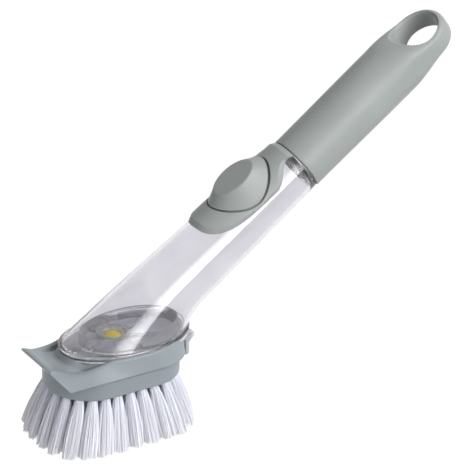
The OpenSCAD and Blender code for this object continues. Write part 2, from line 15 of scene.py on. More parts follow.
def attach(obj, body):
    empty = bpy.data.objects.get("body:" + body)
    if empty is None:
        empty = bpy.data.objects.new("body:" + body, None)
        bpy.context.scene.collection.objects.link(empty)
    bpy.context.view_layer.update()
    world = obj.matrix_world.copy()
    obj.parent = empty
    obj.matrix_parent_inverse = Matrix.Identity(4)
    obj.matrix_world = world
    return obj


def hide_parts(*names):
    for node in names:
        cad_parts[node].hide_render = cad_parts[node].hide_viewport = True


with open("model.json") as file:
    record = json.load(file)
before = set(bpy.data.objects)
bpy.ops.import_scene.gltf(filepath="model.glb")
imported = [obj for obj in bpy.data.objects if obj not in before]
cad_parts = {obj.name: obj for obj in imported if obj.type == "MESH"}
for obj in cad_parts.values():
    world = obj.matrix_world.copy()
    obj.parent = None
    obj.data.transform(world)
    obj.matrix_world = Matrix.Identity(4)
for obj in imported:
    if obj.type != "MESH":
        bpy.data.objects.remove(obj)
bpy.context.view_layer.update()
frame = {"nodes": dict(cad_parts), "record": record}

TAU = 2 * np.pi
MM = 0.001
RNG = np.random.default_rng(41)

# Tank, neck and foot
JOINT = np.array([113.7, 0.0, 127.9])
TANK_PITCH = np.radians(34.2)
GRIP_PITCH = np.radians(35.7)
TANK_R, TANK_TAPER, TANK_WALL, BARREL_L = 15.8, np.radians(1.9), 2.0, 88.0
FOOT_A, FOOT_B, FOOT_X, FOOT_Z = 37.4, 22.8, 6.6, 52.4
FLANGE_W, FLANGE_T = 1.1, 1.8
FOOT_BOTTOM = FOOT_Z - FLANGE_T
PLATE_T, RIBS, RIB_H = 1.6, 8, 2.4
PLATE_BOTTOM = FOOT_BOTTOM - PLATE_T
GASKET_BOTTOM = PLATE_BOTTOM - 0.8
THREAD_R, THREAD_H, THREAD_PITCH = 12.12, 0.45, 3.6

# Pump button and its bezel
BUTTON_U, BUTTON_A, BUTTON_B = 32.2, 19.8, 15.8
BUTTON_TOP_A, BUTTON_TOP_B, BUTTON_TOP_H = 12.6, 9.1, 23.8
BUTTON_GAP, BUTTON_TRAVEL = 0.4, 2.0
BEZEL_L, BEZEL_T, BEZEL_ANGLE, WAIST_ANGLE = 65.8, 2.2, 64.0, 32.0
BEVEL_W, BEVEL_DROP = 3.0, 1.35
WELL_R, WELL_H = 10.0, 11.0

# Grip
GRIP_R, SWELL_R, GRIP_L = 16.2, 16.6, 115.5
HOLE_S, HOLE_R, HOLE_ROUND, HOLE_UNDER = 98.45, 12.8, 3.2, 4.0
PADDLE_S, PADDLE_R, PADDLE_H, PADDLE_LIFT, PADDLE_FULL = 72.0, 16.5, 7.6, 0.7, 2.4

# Head
SHELL_B, SHELL_FRONT, SHELL_REAR, SHELL_Z = 26.7, 40.7, 38.4, 40.8
LIP_X, LIP_B, LIP_Z, SCOOP_DIP, BOWL_DEPTH = 48.0, 15.8, 49.8, 3.9, 2.6
BLOCK_A, BLOCK_FRONT, BLOCK_B, BLOCK_Z, GROOVE = 36.0, 40.0, 25.5, 29.8, 0.4
PIN_X, PIN_Z = SHELL_REAR + 4.8, SHELL_Z + 4.9
LATCH_W, KNOB_R, CHANNEL_R, OUTLET_R = 12.0, 3.0, 3.4, 1.8
TIPS_X = -3.0


def rise(pitch):
    """Unit vectors along and square to a line that climbs at this pitch in the wand's middle plane."""
    return (np.array([np.cos(pitch), 0, np.sin(pitch)]), np.array([-np.sin(pitch), 0, np.cos(pitch)]))


TANK_ALONG, TANK_UP = rise(TANK_PITCH)
GRIP_ALONG, GRIP_UP = rise(GRIP_PITCH)
ACROSS = np.array([0.0, 1.0, 0.0])

turn_joint = next(j for j in frame["record"]["behaviour"]["joints"] if j["name"] == "grip_turn")
LIE = GRIP_PITCH - np.arctan2(turn_joint["axis"][2], turn_joint["axis"][0])
TO_ROW = np.array([[np.cos(LIE), 0, np.sin(LIE)], [0, 1, 0], [-np.sin(LIE), 0, np.cos(LIE)]])
SHIFT = np.array(turn_joint["pos_m"]) - TO_ROW @ JOINT / 1000


def lay(points):
    """Wand frame in millimetres to the resting frame in metres: a turn about y, then a shift that
    puts the joint of tank and grip where the record says."""
    return np.asarray(points) @ TO_ROW.T / 1000 + SHIFT


def smooth(t):
    """3t squared less 2t cubed, with t held between 0 and 1."""
    t = np.clip(t, 0, 1)
    return t * t * (3 - 2 * t)


def bend(a, b, c, q):
    """A quadratic curve from a at q = 0 to c at q = 1, pulled towards b."""
    return (1 - q) ** 2 * a + 2 * q * (1 - q) * b + q * q * c


def place(origin, along, up, s, y, h):
    """origin + s along + y across + h up, for arrays of s, y and h of any matching shapes."""
    s, y, h = np.broadcast_arrays(s, y, h)
    return origin + s[..., None] * along + y[..., None] * ACROSS + h[..., None] * up


def on_tank(u, y, h):
    """A point u down the tank's axis from the joint, y across it and h above it."""
    return place(JOINT, -TANK_ALONG, TANK_UP, u, y, h)


def on_grip(s, y, h):
    """A point s along the grip's axis from the joint, y across it and h above it. The middle line
    climbs by less than a millimetre towards the paddle."""
    return place(JOINT, GRIP_ALONG, GRIP_UP, s, y, h + PADDLE_LIFT * flatness(s))


def upright(x, y, z):
    """A point of the level head."""
    return place(np.zeros(3), np.array([1.0, 0, 0]), np.array([0, 0, 1.0]), x, y, z)


# ---------------- meshes


def grid_faces(rings, points, wrap_rings, wrap_points, start=0):
    """Quads between neighbours of a grid of rings by points, joined end to end where it wraps."""
    i = np.arange(rings if wrap_rings else rings - 1)[:, None]
    j = np.arange(points if wrap_points else points - 1)[None, :]
    i2, j2 = (i + 1) % rings, (j + 1) % points
    corners = [i * points + j, i * points + j2, i2 * points + j2, i2 * points + j]
    return np.stack([np.broadcast_to(c, (len(i), j.shape[1])) for c in corners], -1).reshape(-1, 4) + start


def fill(mesh, points, faces, smoothed=True):
    """Puts points and one or more arrays of same-sized faces into a mesh, as whole arrays."""
    sizes = np.concatenate([np.full(len(f), f.shape[1]) for f in faces])
    loops = np.concatenate([f.ravel() for f in faces])
    mesh.vertices.add(len(points))
    mesh.vertices.foreach_set("co", np.ascontiguousarray(points, dtype=np.float32).ravel())
    mesh.loops.add(len(loops))
    mesh.loops.foreach_set("vertex_index", loops.astype(np.int32))
    mesh.polygons.add(len(sizes))
    mesh.polygons.foreach_set("loop_start", (np.cumsum(sizes) - sizes).astype(np.int32))
    mesh.polygons.foreach_set("loop_total", sizes.astype(np.int32))
    mesh.polygons.foreach_set("use_smooth", np.full(len(sizes), smoothed))
    mesh.update(calc_edges=True)


def weld(mesh):
    """Joins points within 2 micrometres, closes poles that way, and turns the faces outwards."""
    work = bmesh.new()
    work.from_mesh(mesh)
    bmesh.ops.remove_doubles(work, verts=work.verts, dist=2e-6)
    bmesh.ops.recalc_face_normals(work, faces=work.faces)
    work.to_mesh(mesh)
    work.free()


def dress(name, mesh, material, body, stands_for):
    """The object of a finished mesh: its material, the body it rides on and the nodes it stands for."""
    piece = bpy.data.objects.new(name, mesh)
    bpy.context.scene.collection.objects.link(piece)
    mesh.materials.append(material)
    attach(piece, body)
    if stands_for:
        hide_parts(*stands_for)
    return piece


def skin(name, grids, material, body, stands_for=(), crease=32):
    """One piece from closed grids of shape rings, points, 3. Each grid says whether its rings
    close on themselves; its points always do. Rings that shrink to a point are welded there."""
    points, faces, start = [], [], 0
    for grid, wraps in grids:
        rings, count = grid.shape[:2]
        points.append(lay(grid.reshape(-1, 3)))
        faces.append(grid_faces(rings, count, wraps, True, start))
        start += rings * count
    mesh = bpy.data.meshes.new(name)
    fill(mesh, np.concatenate(points), [np.concatenate(faces)])
    weld(mesh)
    mesh.set_sharp_from_angle(angle=np.radians(crease))
    return dress(name, mesh, material, body, stands_for)


def ring_stack(profile, count, at):
    """Rings from a profile of (radius, height) rows turned about an axis: at(c, s, height) places a
    point with c and s the radius times the cosine and sine of the turn."""
    t = TAU * np.arange(count) / count
    r, h = np.array(profile, dtype=float).T
    return at(r[:, None] * np.cos(t), r[:, None] * np.sin(t), h[:, None] + 0 * t)


def rounded(points, radius, steps=4):
    """An open profile with each inner corner replaced by an arc-like quadratic curve that starts
    and ends the given distance from the corner, or less where a side is short."""
    p = np.array(points, dtype=float)
    radius = np.broadcast_to(radius, len(p))
    rows = [p[:1]]
    q = np.linspace(0, 1, steps + 1)[:, None]
    for before, corner, after, r in zip(p[:-2], p[1:-1], p[2:], radius[1:-1]):
        a, b = before - corner, after - corner
        la, lb = np.linalg.norm(a), np.linalg.norm(b)
        start, end = corner + a / la * min(r, la * 0.48), corner + b / lb * min(r, lb * 0.48)
        rows.append(bend(start, corner, end, q))
    rows.append(p[-1:])
    return np.concatenate(rows)


# ---------------- finishes


def linear(code):
    """An sRGB hex code as linear red, green and blue with alpha 1."""
    c = np.array([int(code[i:i + 2], 16) for i in (1, 3, 5)]) / 255
    return (*np.where(c > 0.04045, ((c + 0.055) / 1.055) ** 2.4, c / 12.92).tolist(), 1.0)


class Finish:
    """The node tree of a material, a room or a lamp. add() makes one node and sets its inputs: a
    socket is linked, a node stands for its first output, and anything else is a plain value."""

    def __init__(self, owner, kind="Material"):
        owner.use_nodes = True
        self.owner, self.tree = owner, owner.node_tree
        self.tree.nodes.clear()
        self.output = self.tree.nodes.new("ShaderNodeOutput" + kind)

    def add(self, kind, inputs=(), **settings):
        node = self.tree.nodes.new("ShaderNode" + kind)
        for key, value in settings.items():
            setattr(node, key, value)
        for key, value in dict(inputs).items():
            if isinstance(value, bpy.types.Node):
                value = value.outputs[0]
            if isinstance(value, bpy.types.NodeSocket):
                self.tree.links.new(value, node.inputs[key])
            else:
                node.inputs[key].default_value = value
        return node

    def ramp(self, factor, low, high, dark, light):
        """Two hex colours, blended while the factor goes from low to high."""
        node = self.add("ValToRGB", {"Fac": factor})
        for element, position, code in zip(node.color_ramp.elements, (low, high), (dark, light)):
            element.position, element.color = position, linear(code)
        return node

    def noise(self, size, detail=2.0, roughness=0.5, stretch=None):
        """Noise on Object coordinates, with features about size millimetres across."""
        spot = self.add("TexCoord").outputs["Object"]
        if stretch:
            spot = self.add("Mapping", {"Vector": spot, "Scale": stretch})
        return self.add("TexNoise", {
            "Vector": spot, "Scale": 1 / (size * MM), "Detail": detail, "Roughness": roughness})

    def between(self, value, low, high, start=0.3, stop=0.7):
        """A value from start to stop, carried over to the range from low to high."""
        return self.add("MapRange", {
            "Value": value, "From Min": start, "From Max": stop, "To Min": low, "To Max": high})

    def bump(self, height, strength, depth):
        """Relief of this depth in millimetres."""
        return self.add("Bump", {"Height": height, "Strength": strength, "Distance": depth * MM})

    def finish(self, shader):
        self.tree.links.new(shader.outputs[0], self.output.inputs["Surface"])
        return self.owner


def material(name):
    """A new material, ready for its nodes."""
    return Finish(bpy.data.materials.new(name))


def moulded_grey(name, light, dark):
    """ABS, injection moulded in a spark-eroded mould: a soft satin with a fine even grain."""
    f = material(name)
    # The pigment's tone drifts over some 30 mm, so that a broad face isn't one flat tone
    colour = f.ramp(f.noise(31.25, 3.0), 0.3, 0.7, dark, light)
    # The mould's grain is about 0.1 mm. It is drawn at 0.35 mm, so that a close view shows it
    grain = f.bump(f.noise(0.345, 2.0, 0.6), 0.10, 0.06)
    # Faint flow marks, 6 mm apart, make the sheen uneven where light grazes
    gloss = f.between(f.noise(6.25), 0.36, 0.46)
    return f.finish(f.add("BsdfPrincipled", {
        "Base Color": colour, "Roughness": gloss, "IOR": 1.54, "Specular IOR Level": 0.38,
        "Normal": grain}))


def polished_clear(name, light, dark, roughness=0.02, clearness=1.0):
    """Clear SAN, injection moulded in a polished mould: glassy, faintly lavender."""
    f = material(name)
    # The melt's flow leaves a barely stronger tint in places, over some 25 mm
    tint = f.ramp(f.noise(25.0, 1.0), 0.35, 0.65, dark, light)
    # Shallow sink waves about 12 mm long bend the reflections a little
    waves = f.bump(f.noise(11.765, 1.0), 0.15, 0.2)
    return f.finish(f.add("BsdfPrincipled", {
        "Base Color": tint, "Roughness": roughness, "IOR": 1.57, "Transmission Weight": clearness,
        "Normal": waves}))


def satin_clear(name, light, dark):
    """Clear SAN from a mould left satin: light goes through it but scatters, so that it reads as
    frosted, pale and soft instead of glassy."""
    f = material(name)
    tint = f.ramp(f.noise(8.333), 0.35, 0.65, dark, light)
    # The satin is uneven over some 3 mm, so that the sheen breaks up
    haze = f.between(f.noise(3.03), 0.12, 0.26)
    return f.finish(f.add("BsdfPrincipled", {
        "Base Color": tint, "Roughness": haze, "IOR": 1.57, "Transmission Weight": 0.55}))


def moulded_silicone(name, light, dark, clearness=0.0):
    """Compression moulded silicone rubber: silky, with light that goes a little way in."""
    f = material(name)
    colour = f.ramp(f.noise(4.545, 3.0), 0.35, 0.65, dark, light)
    # A talc-dull skin with grain about 0.3 mm across softens the highlights
    grain = f.bump(f.noise(0.303), 0.15, 0.05)
    return f.finish(f.add("BsdfPrincipled", {
        "Base Color": colour, "Roughness": 0.42, "IOR": 1.41, "Transmission Weight": clearness,
        "Subsurface Weight": 0.3, "Subsurface Scale": 2 * MM, "Subsurface Radius": (1.0, 0.8, 0.5),
        "Normal": grain}))


def drawn_nylon(name):
    """Drawn nylon filament, crimped into tufts: milky white, with painted shade that makes it a little darker
    towards the root, where the tufts crowd.
    """
    f = material(name)
    along = f.add("Attribute", attribute_name="along").outputs["Fac"]
    shade = f.add("Attribute", attribute_name="shade").outputs["Fac"]
    # Painted shade: the colour darkens a little from the tip down to the root, where the tufts shade each other
    body = f.ramp(along, 0.0, 1.0, "#EFF0F8", "#FBFBFF")
    # Each filament takes the light a little differently, which lets the eye tell them apart
    tone = f.ramp(shade, 0.0, 1.0, "#F6F6F7", "#FFFFFF")
    # A colour Mix keeps its colours in its seventh and eighth inputs, its result in its third output
    mixed = f.add("Mix", {0: 1.0, 6: body, 7: tone}, data_type="RGBA", blend_type="MULTIPLY")
    # The drawn skin's gloss varies from place to place, over about a millimetre
    gloss = f.between(f.noise(1.111, 1.0), 0.30, 0.42, 0, 1)
    return f.finish(f.add("BsdfPrincipled", {
        "Base Color": mixed.outputs[2], "Roughness": gloss, "IOR": 1.53, "Specular IOR Level": 0.3}))


def drawn_steel(name):
    """Drawn stainless wire and pin: bright, with die lines that streak the reflections."""
    f = material(name)
    lines = f.noise(1.111, 2.0, 0.6, (1, 14, 1))
    return f.finish(f.add("BsdfPrincipled", {
        "Base Color": f.ramp(lines, 0.3, 0.7, "#A9ABAE", "#C9CBCD"), "Metallic": 1.0,
        "Roughness": f.between(lines, 0.22, 0.38, 0, 1)}))


GREY = moulded_grey("satin_moulded_abs", "#9EA3A1", "#969B99")
HEAD_GREY = moulded_grey("satin_moulded_abs_head", "#929A9F", "#8A9298")
CLEAR = polished_clear("polished_moulded_san", "#EAE9ED", "#E5E4E9")
CLEAR_FOOT = polished_clear("polished_moulded_san_plate", "#FFFFFF", "#F6F7FB", 0.03, 0.88)
CLEAR_SATIN = satin_clear("satin_moulded_san", "#EEEEF3", "#E2E2E9")
YELLOW = moulded_silicone("moulded_yellow_silicone", "#F0DC1E", "#E2CA14")
PAD = moulded_silicone("moulded_pale_silicone", "#FAFBFF", "#F0F1FA")
MILKY = moulded_silicone("moulded_translucent_silicone", "#E9EAEE", "#DFE0E5", 0.55)
NYLON = drawn_nylon("drawn_nylon_filament")
STEEL = drawn_steel("drawn_stainless_steel")


# ---------------- grip


def round_r(s):
    """Radius of the round part, which swells slowly over its length."""
    return GRIP_R + (SWELL_R - GRIP_R) * smooth(s / (GRIP_L * 0.6))


def flatness(s):
    """0 along the round part and 1 on the paddle, with an eased step between."""
    return smooth((s - GRIP_L * 0.6) / (GRIP_L * 0.28))


def grip_b(s):
    """Half width: a swelling round that widens into the paddle, then the paddle's round end."""
    end = np.sqrt(np.maximum(PADDLE_R ** 2 - (s - HOLE_S) ** 2, 0))
    return np.where(s > HOLE_S, end, round_r(s) + (PADDLE_R - round_r(s)) * flatness(s))


def grip_top(s, y):
    """Height of the upper face: a superellipse across the grip whose power grows from 2 to 4.4 as
    it flattens, and beyond the hole's middle the same curve outwards from that middle."""
    q = np.where(s > HOLE_S, np.hypot(s - HOLE_S, y) / PADDLE_R, np.abs(y) / np.maximum(grip_b(s), 1e-6))
    p = 2 + PADDLE_FULL * flatness(s)
    h = round_r(s) + (PADDLE_H - round_r(s)) * flatness(s)
    return h * np.maximum(1 - np.minimum(q, 1) ** p, 0) ** (1 / p)


def make_grip():
    """Rings up to the paddle, then an upper and a lower sheet ruled from the hanging hole out to
    the paddle's outline. The hole's upper rim is a straight bevel, wider towards the shaft, and
    its lower rim is a quarter ellipse. The shaft is hollow, with a seat for the cap."""
    half = 48
    t = np.pi * np.arange(2 * half) / half - np.pi / 2
    stations = np.concatenate([[1.05, 1.6, 2.6, 4], np.linspace(6, PADDLE_S, 44)])[:, None]
    y = grip_b(stations) * np.sin(t)
    body = on_grip(stations, y, np.where(np.cos(t) < -1e-9, -1, 1) * grip_top(stations, y))
    body[:, [0, half]] = on_grip(stations, grip_b(stations) * [[-1, 1]], 0 * stations)
    # Radius and place of the hollow's rings, from its closed end out to the mouth's lip
    hollow = [(0, 71.5), (11.4, 71.5), (11.9, 71.0), (12, 70.5), (12, 17.8), (12.3, 17.6), (14.3, 17.6),
        (14.6, 17.2), (14.6, 1.0), (14.65, 0.7), (14.9, 0.5), (15.5, 0.5), (15.85, 0.58), (16.08, 0.78)]
    r, s = np.array(hollow).T[..., None]
    shaft = np.concatenate([on_grip(s, r * np.sin(t), r * np.cos(t)), body])

    back_y = grip_b(np.array(PADDLE_S)) * np.sin(t[:half + 1])
    side_s = np.linspace(PADDLE_S, HOLE_S, 25)[1:]
    arc = np.linspace(np.pi / 2, -np.pi / 2, 61)[1:-1]
    outline = np.concatenate([
        np.stack([np.full(half + 1, PADDLE_S), back_y], -1),
        np.stack([side_s, grip_b(side_s)], -1),
        np.stack([HOLE_S + PADDLE_R * np.cos(arc), PADDLE_R * np.sin(arc)], -1),
        np.stack([side_s[::-1], -grip_b(side_s[::-1])], -1)])
    angle = np.arctan2(outline[:, 1], outline[:, 0] - HOLE_S)
    ray = np.stack([np.cos(angle), np.sin(angle)], -1)
    rim = [HOLE_S, 0] + HOLE_R * ray
    # The sheets' rings lie closer together by the rim and by the outline
    q = np.linspace(0, 1, 34)
    share = (1 - (1 - q) ** 1.9) * (0.35 + 0.65 * q)
    flat = rim + (outline - rim) * share[:, None, None]
    s, y = flat[..., 0], flat[..., 1]
    top = grip_top(s, y)
    top[-1, half + 1:] = 0
    top[-1, [0, half]] = 0
    out = np.hypot(s - HOLE_S, y) - HOLE_R
    bevel = 1.1 + 0.45 * (1 - ray[:, 0])
    wall = grip_top(HOLE_S + (HOLE_R + bevel) * ray[:, 0], (HOLE_R + bevel) * ray[:, 1]) - bevel
    straight = np.clip(out / bevel, 0, 1)
    soft = straight - 0.035 * np.sin(TAU * straight)
    upper = on_grip(s, y, wall + (top - wall) * soft)
    dip = np.sqrt(np.maximum(1 - (1 - np.clip(out / HOLE_ROUND, 0, 1)) ** 2, 0))
    lower = on_grip(s, y, -(HOLE_UNDER + (top - HOLE_UNDER) * dip))
    bore_h = -HOLE_UNDER + (wall + HOLE_UNDER) * np.linspace(0, 1, 5)[:, None]
    bore = on_grip(rim[:, 0] + 0 * bore_h, rim[:, 1], bore_h)
    paddle = np.concatenate([lower[::-1], bore[1:-1], upper])
    skin("grip_body", [(shaft, False), (paddle, False)], GREY, "grip", ["grip"], 40)


# ---------------- tank


def barrel_r(u):
    """Outer radius of the tank, u down its taper."""
    return TANK_R + u * np.tan(TANK_TAPER)


# The button's underside lies on a cylinder of this radius when it is pressed
BUTTON_UNDER = barrel_r(BUTTON_U + BUTTON_A) + 0.3


def foot_ring(t, grow, z):
    """The foot's oval at the height z, with both half axes longer by grow."""
    return upright(FOOT_X - (FOOT_A + grow) * np.cos(t), (FOOT_B + grow) * np.sin(t), z)


def skirt_ring(t, k, inset):
    """A quadratic curve along each line of the taper: in line with the barrel at k = 0, and on the
    oval of the foot at k = 1."""
    r = barrel_r(BARREL_L) - inset
    a = on_tank(BARREL_L, r * np.sin(t), r * np.cos(t))
    c = foot_ring(t, -inset, FOOT_Z)
    down = -np.cos(TANK_TAPER) * TANK_ALONG + np.sin(TANK_TAPER) * (
        np.cos(t)[:, None] * TANK_UP + np.sin(t)[:, None] * ACROSS)
    return bend(a, a + 0.45 * np.linalg.norm(c - a, axis=-1, keepdims=True) * down, c, k)


def make_tank():
    """One closed skin of rings: down the neck with its thread, over the shoulder, along the barrel
    and the skirt, round the flange, and back up the inside one wall's thickness in. The thread is
    a ridge whose place along the neck grows with the turn."""
    t = TAU * np.arange(128) / 128

    def neck(s, r):
        return on_grip(s, r * np.sin(t), r * np.cos(t))

    def barrel(u, inset):
        r = barrel_r(u) - inset
        return on_tank(u, r * np.sin(t), r * np.cos(t))

    rings = [neck(12.7, 12.02), neck(12.3, THREAD_R)]
    for s in np.arange(12.0, 0.9, -0.3):
        phase = (s / THREAD_PITCH + t / TAU) % 1 - 0.5
        fade = smooth((s - 1.2) / 1.5) * smooth((11.9 - s) / 1.5)
        rings.append(neck(s, THREAD_R + THREAD_H * np.exp(-(phase / 0.17) ** 4) * fade))
    rings += [neck(s, r) for s, r in [(0.75, 12.15), (0.5, 12.3), (0.35, 12.6)]]
    shoulder = [(0.0, 2.6), (0.0, 1.0), (0.06, 0.55), (0.22, 0.22), (0.5, 0.06), (0.9, 0.0)]
    rings += [barrel(u, inset) for u, inset in shoulder]
    rings += [barrel(u, 0) for u in np.linspace(1.5, BARREL_L, 34)]
    rings += [skirt_ring(t, k, 0) for k in np.linspace(0, 1, 29)[1:]]
    # How far the flange's rings stand out from the foot, and how far they lie below its plane
    flange = [(0.35, 0), (0.75, 0.02), (0.98, 0.12), (1.08, 0.3), (FLANGE_W, 0.6), (FLANGE_W, 1.3), (1.08, 1.5),
        (0.98, 1.68), (0.75, 1.78), (0.4, 1.8), (-1.6, 1.8), (-1.9, 1.75), (-TANK_WALL, 1.5)]
    rings += [foot_ring(t, grow, FOOT_Z - drop) for grow, drop in flange]
    rings += [skirt_ring(t, k, TANK_WALL) for k in np.linspace(1, 0, 29)]
    rings += [barrel(u, TANK_WALL) for u in np.linspace(BARREL_L, 4, 34)[1:]]
    rings += [barrel(u, inset) for u, inset in [(3.1, 2.05), (2.5, 2.3), (2.1, 2.8), (2.0, 3.4)]]
    mouth = [(-1.9, 11.2), (-1.6, 10.8), (-1.2, 10.62), (-0.6, 10.6), (6, 10.6), (12.2, 10.6), (12.7, 10.7),
        (12.95, 10.95), (13.0, 11.3), (12.95, 11.75)]
    rings += [neck(s, r) for s, r in mouth]
    skin("tank_clear", [(np.array(rings), True)], CLEAR, "wand", ["tank"], 50)


def make_well():
    """The cup that holds the pump's diaphragm: a floor with a round window, and a wall whose top
    follows the barrel's inner face, at the root of its radius squared less y squared."""
    t = TAU * np.arange(96) / 96

    def ring(r, h):
        y = r * np.sin(t)
        roof = np.sqrt((barrel_r(BUTTON_U) - TANK_WALL) ** 2 - y * y) + 0.12
        return on_tank(BUTTON_U + r * np.cos(t), y, np.minimum(h, roof))

    # The wall's rings start higher than the roof, which then decides
    r, window, outer, floor, high = WELL_R, WELL_R - 3, WELL_R + 1.8, WELL_H - 2, 40
    rows = [(r, high), (r, WELL_H + 0.5), (r - 0.15, WELL_H + 0.1), (r - 0.5, WELL_H), (window + 0.2, WELL_H),
        (window, WELL_H - 0.2), (window, floor + 0.2), (window + 0.2, floor), (outer - 0.6, floor),
        (outer - 0.2, floor + 0.15), (outer, floor + 0.6), (outer, high)]
    rows = np.array([ring(r, h) for r, h in rows])
    skin("pump_well", [(rows, True)], CLEAR, "wand", (), 50)


def ray_to_oval(angle, middle, a, b):
    """Distance from the soap outlet to an oval round (middle, 0) with half axes a and b: the larger
    root of the quadratic for the point where the ray meets it."""
    c, s = np.cos(angle), np.sin(angle)
    p, q, r = (c / a) ** 2 + (s / b) ** 2, -2 * c * middle / a ** 2, (middle / a) ** 2 - 1
    return (-q + np.sqrt(q * q - 4 * p * r)) / (2 * p)


def make_base_plate():
    """Rings about the soap outlet: boss, floor with eight ribs, upright rim and the oval edge. A
    rib's height falls off as exp of minus (distance from its middle line / 0.6) to the fourth."""
    angle = TAU * np.arange(720) / 720
    step = TAU / RIBS
    nearest = step * (np.floor(angle / step) + 0.5)

    def spot(r, lift, rib=False):
        r = r + 0 * angle
        ridge = RIB_H * np.exp(-(r * np.sin(angle - nearest) / 0.6) ** 4) if rib else 0
        return upright(r * np.cos(angle), r * np.sin(angle), FOOT_BOTTOM + lift + ridge)

    rim_a, rim_b = FOOT_A - TANK_WALL - 6.4, FOOT_B - TANK_WALL - 2.6
    rim_out = ray_to_oval(angle, FOOT_X + 3, rim_a, rim_b)
    rim_in = ray_to_oval(angle, FOOT_X + 3, rim_a - 1.4, rim_b - 1.4)
    edge = ray_to_oval(angle, FOOT_X, FOOT_A + FLANGE_W - 0.6, FOOT_B + FLANGE_W - 0.6)
    boss = [(3, 0), (6.9, 0), (7.25, 0.08), (7.4, 0.4), (7.4, 4.2), (7.5, 4.5), (7.8, 4.6), (8.8, 4.6),
        (9.1, 4.5), (9.2, 4.2)]
    floor = [(9.22, 0.3)] + [(9.5 + (rim_in - 9.8) * q, 0) for q in np.linspace(0, 1, 7)] + [(rim_in, 0.3)]
    rim = [(rim_in, 6.6), (rim_in + 0.12, 6.9), (rim_in + 0.4, 7.0), (rim_out - 0.4, 7.0),
        (rim_out - 0.12, 6.9), (rim_out, 6.6), (rim_out, 0.3), (rim_out + 0.2, 0.05), (rim_out + 0.5, 0)]
    outside = [(edge - 0.4, 0), (edge - 0.1, -0.1), (edge, -0.4), (edge, -1.2), (edge - 0.1, -1.5),
        (edge - 0.4, -PLATE_T), (8, -PLATE_T), (3, -PLATE_T)]
    rows = [spot(*row) for row in boss] + [spot(*row, True) for row in floor]
    rows += [spot(*row) for row in rim + outside]
    skin("base_plate_clear", [(np.array(rows), True)], CLEAR_FOOT, "wand", ["base_plate"], 40)


def make_pad():
    """The pale pad between plate and shell: a flat oval ring round the soap outlet, its rings at
    shares of the way from the outlet's hole to the plate's outline."""
    angle = TAU * np.arange(360) / 360
    hole, margin = 3.1, 0.8
    rim = ray_to_oval(angle, FOOT_X, FOOT_A + FLANGE_W - margin, FOOT_B + FLANGE_W - margin)
    high, low = PLATE_BOTTOM - 0.02, GASKET_BOTTOM + 0.03

    def spot(share, h):
        r = hole + (rim - hole) * share
        return upright(r * np.cos(angle), r * np.sin(angle), h)

    rows = [(0.004, high), (0.3, high), (0.6, high), (0.995, high), (1, high - 0.12), (1, low), (0.6, low),
        (0.3, low), (0, low), (0, high - 0.12)]
    rows = np.array([spot(*row) for row in rows])
    skin("foot_pad", [(rows, True)], PAD, "wand", ["foot_gasket"], 40)


def make_valve():
    """A turned dome on a disc, with a slit: the height falls by 0.8 times exp of minus (y / 0.16)
    squared over the slit's length."""
    profile = [(r, 3.8 * (1 - (r / 4.75) ** 3.2) ** (1 / 2.6)) for r in np.linspace(0, 4.7, 26)]
    profile += [(4.75, 1.4), (4.85, 1.15), (5.1, 1.05), (7.0, 1.05), (7.2, 0.95), (7.25, 0.7), (7.25, 0.3),
        (7.15, 0.1), (6.9, 0.05), (2.8, 0.05), (2.75, -2.6), (2.5, -2.8), (0, -2.8)]

    def at(x, y, h):
        cut = 0.8 * np.exp(-(y / 0.16) ** 2) * smooth((1.9 - np.abs(x)) / 0.3) * (h > 2)
        return upright(x, y, FOOT_BOTTOM + h - cut)

    dome = ring_stack(profile, 160, at)
    skin("outlet_valve_dome", [(dome, False)], YELLOW, "wand", ["outlet_valve"], 50)


# ---------------- pump button


def bezel_half(u):
    """Half angle of the bezel round the tank, in radians: a waist by the grip, widest beside the
    button, then a rounded nose of the form (1 - x to the 2.35) to the 0.34."""
    wide = WAIST_ANGLE + (BEZEL_ANGLE - WAIST_ANGLE) * smooth((u - 3) / 17)
    nose = np.maximum(1 - (np.maximum(u - 30, 0) / (BEZEL_L - 30)) ** 2.35, 0) ** 0.34
    return np.radians(wide * nose + 6 * np.maximum(1 - u / 4, 0) ** 2)


def bezel_proud(u):
    """How far the bezel stands up from the tank: it thickens from the grip and thins at the nose."""
    return 1.8 + (BEZEL_T - 1.8) * smooth(u / 18) - 0.4 * smooth((u - BEZEL_L + 14) / 14)


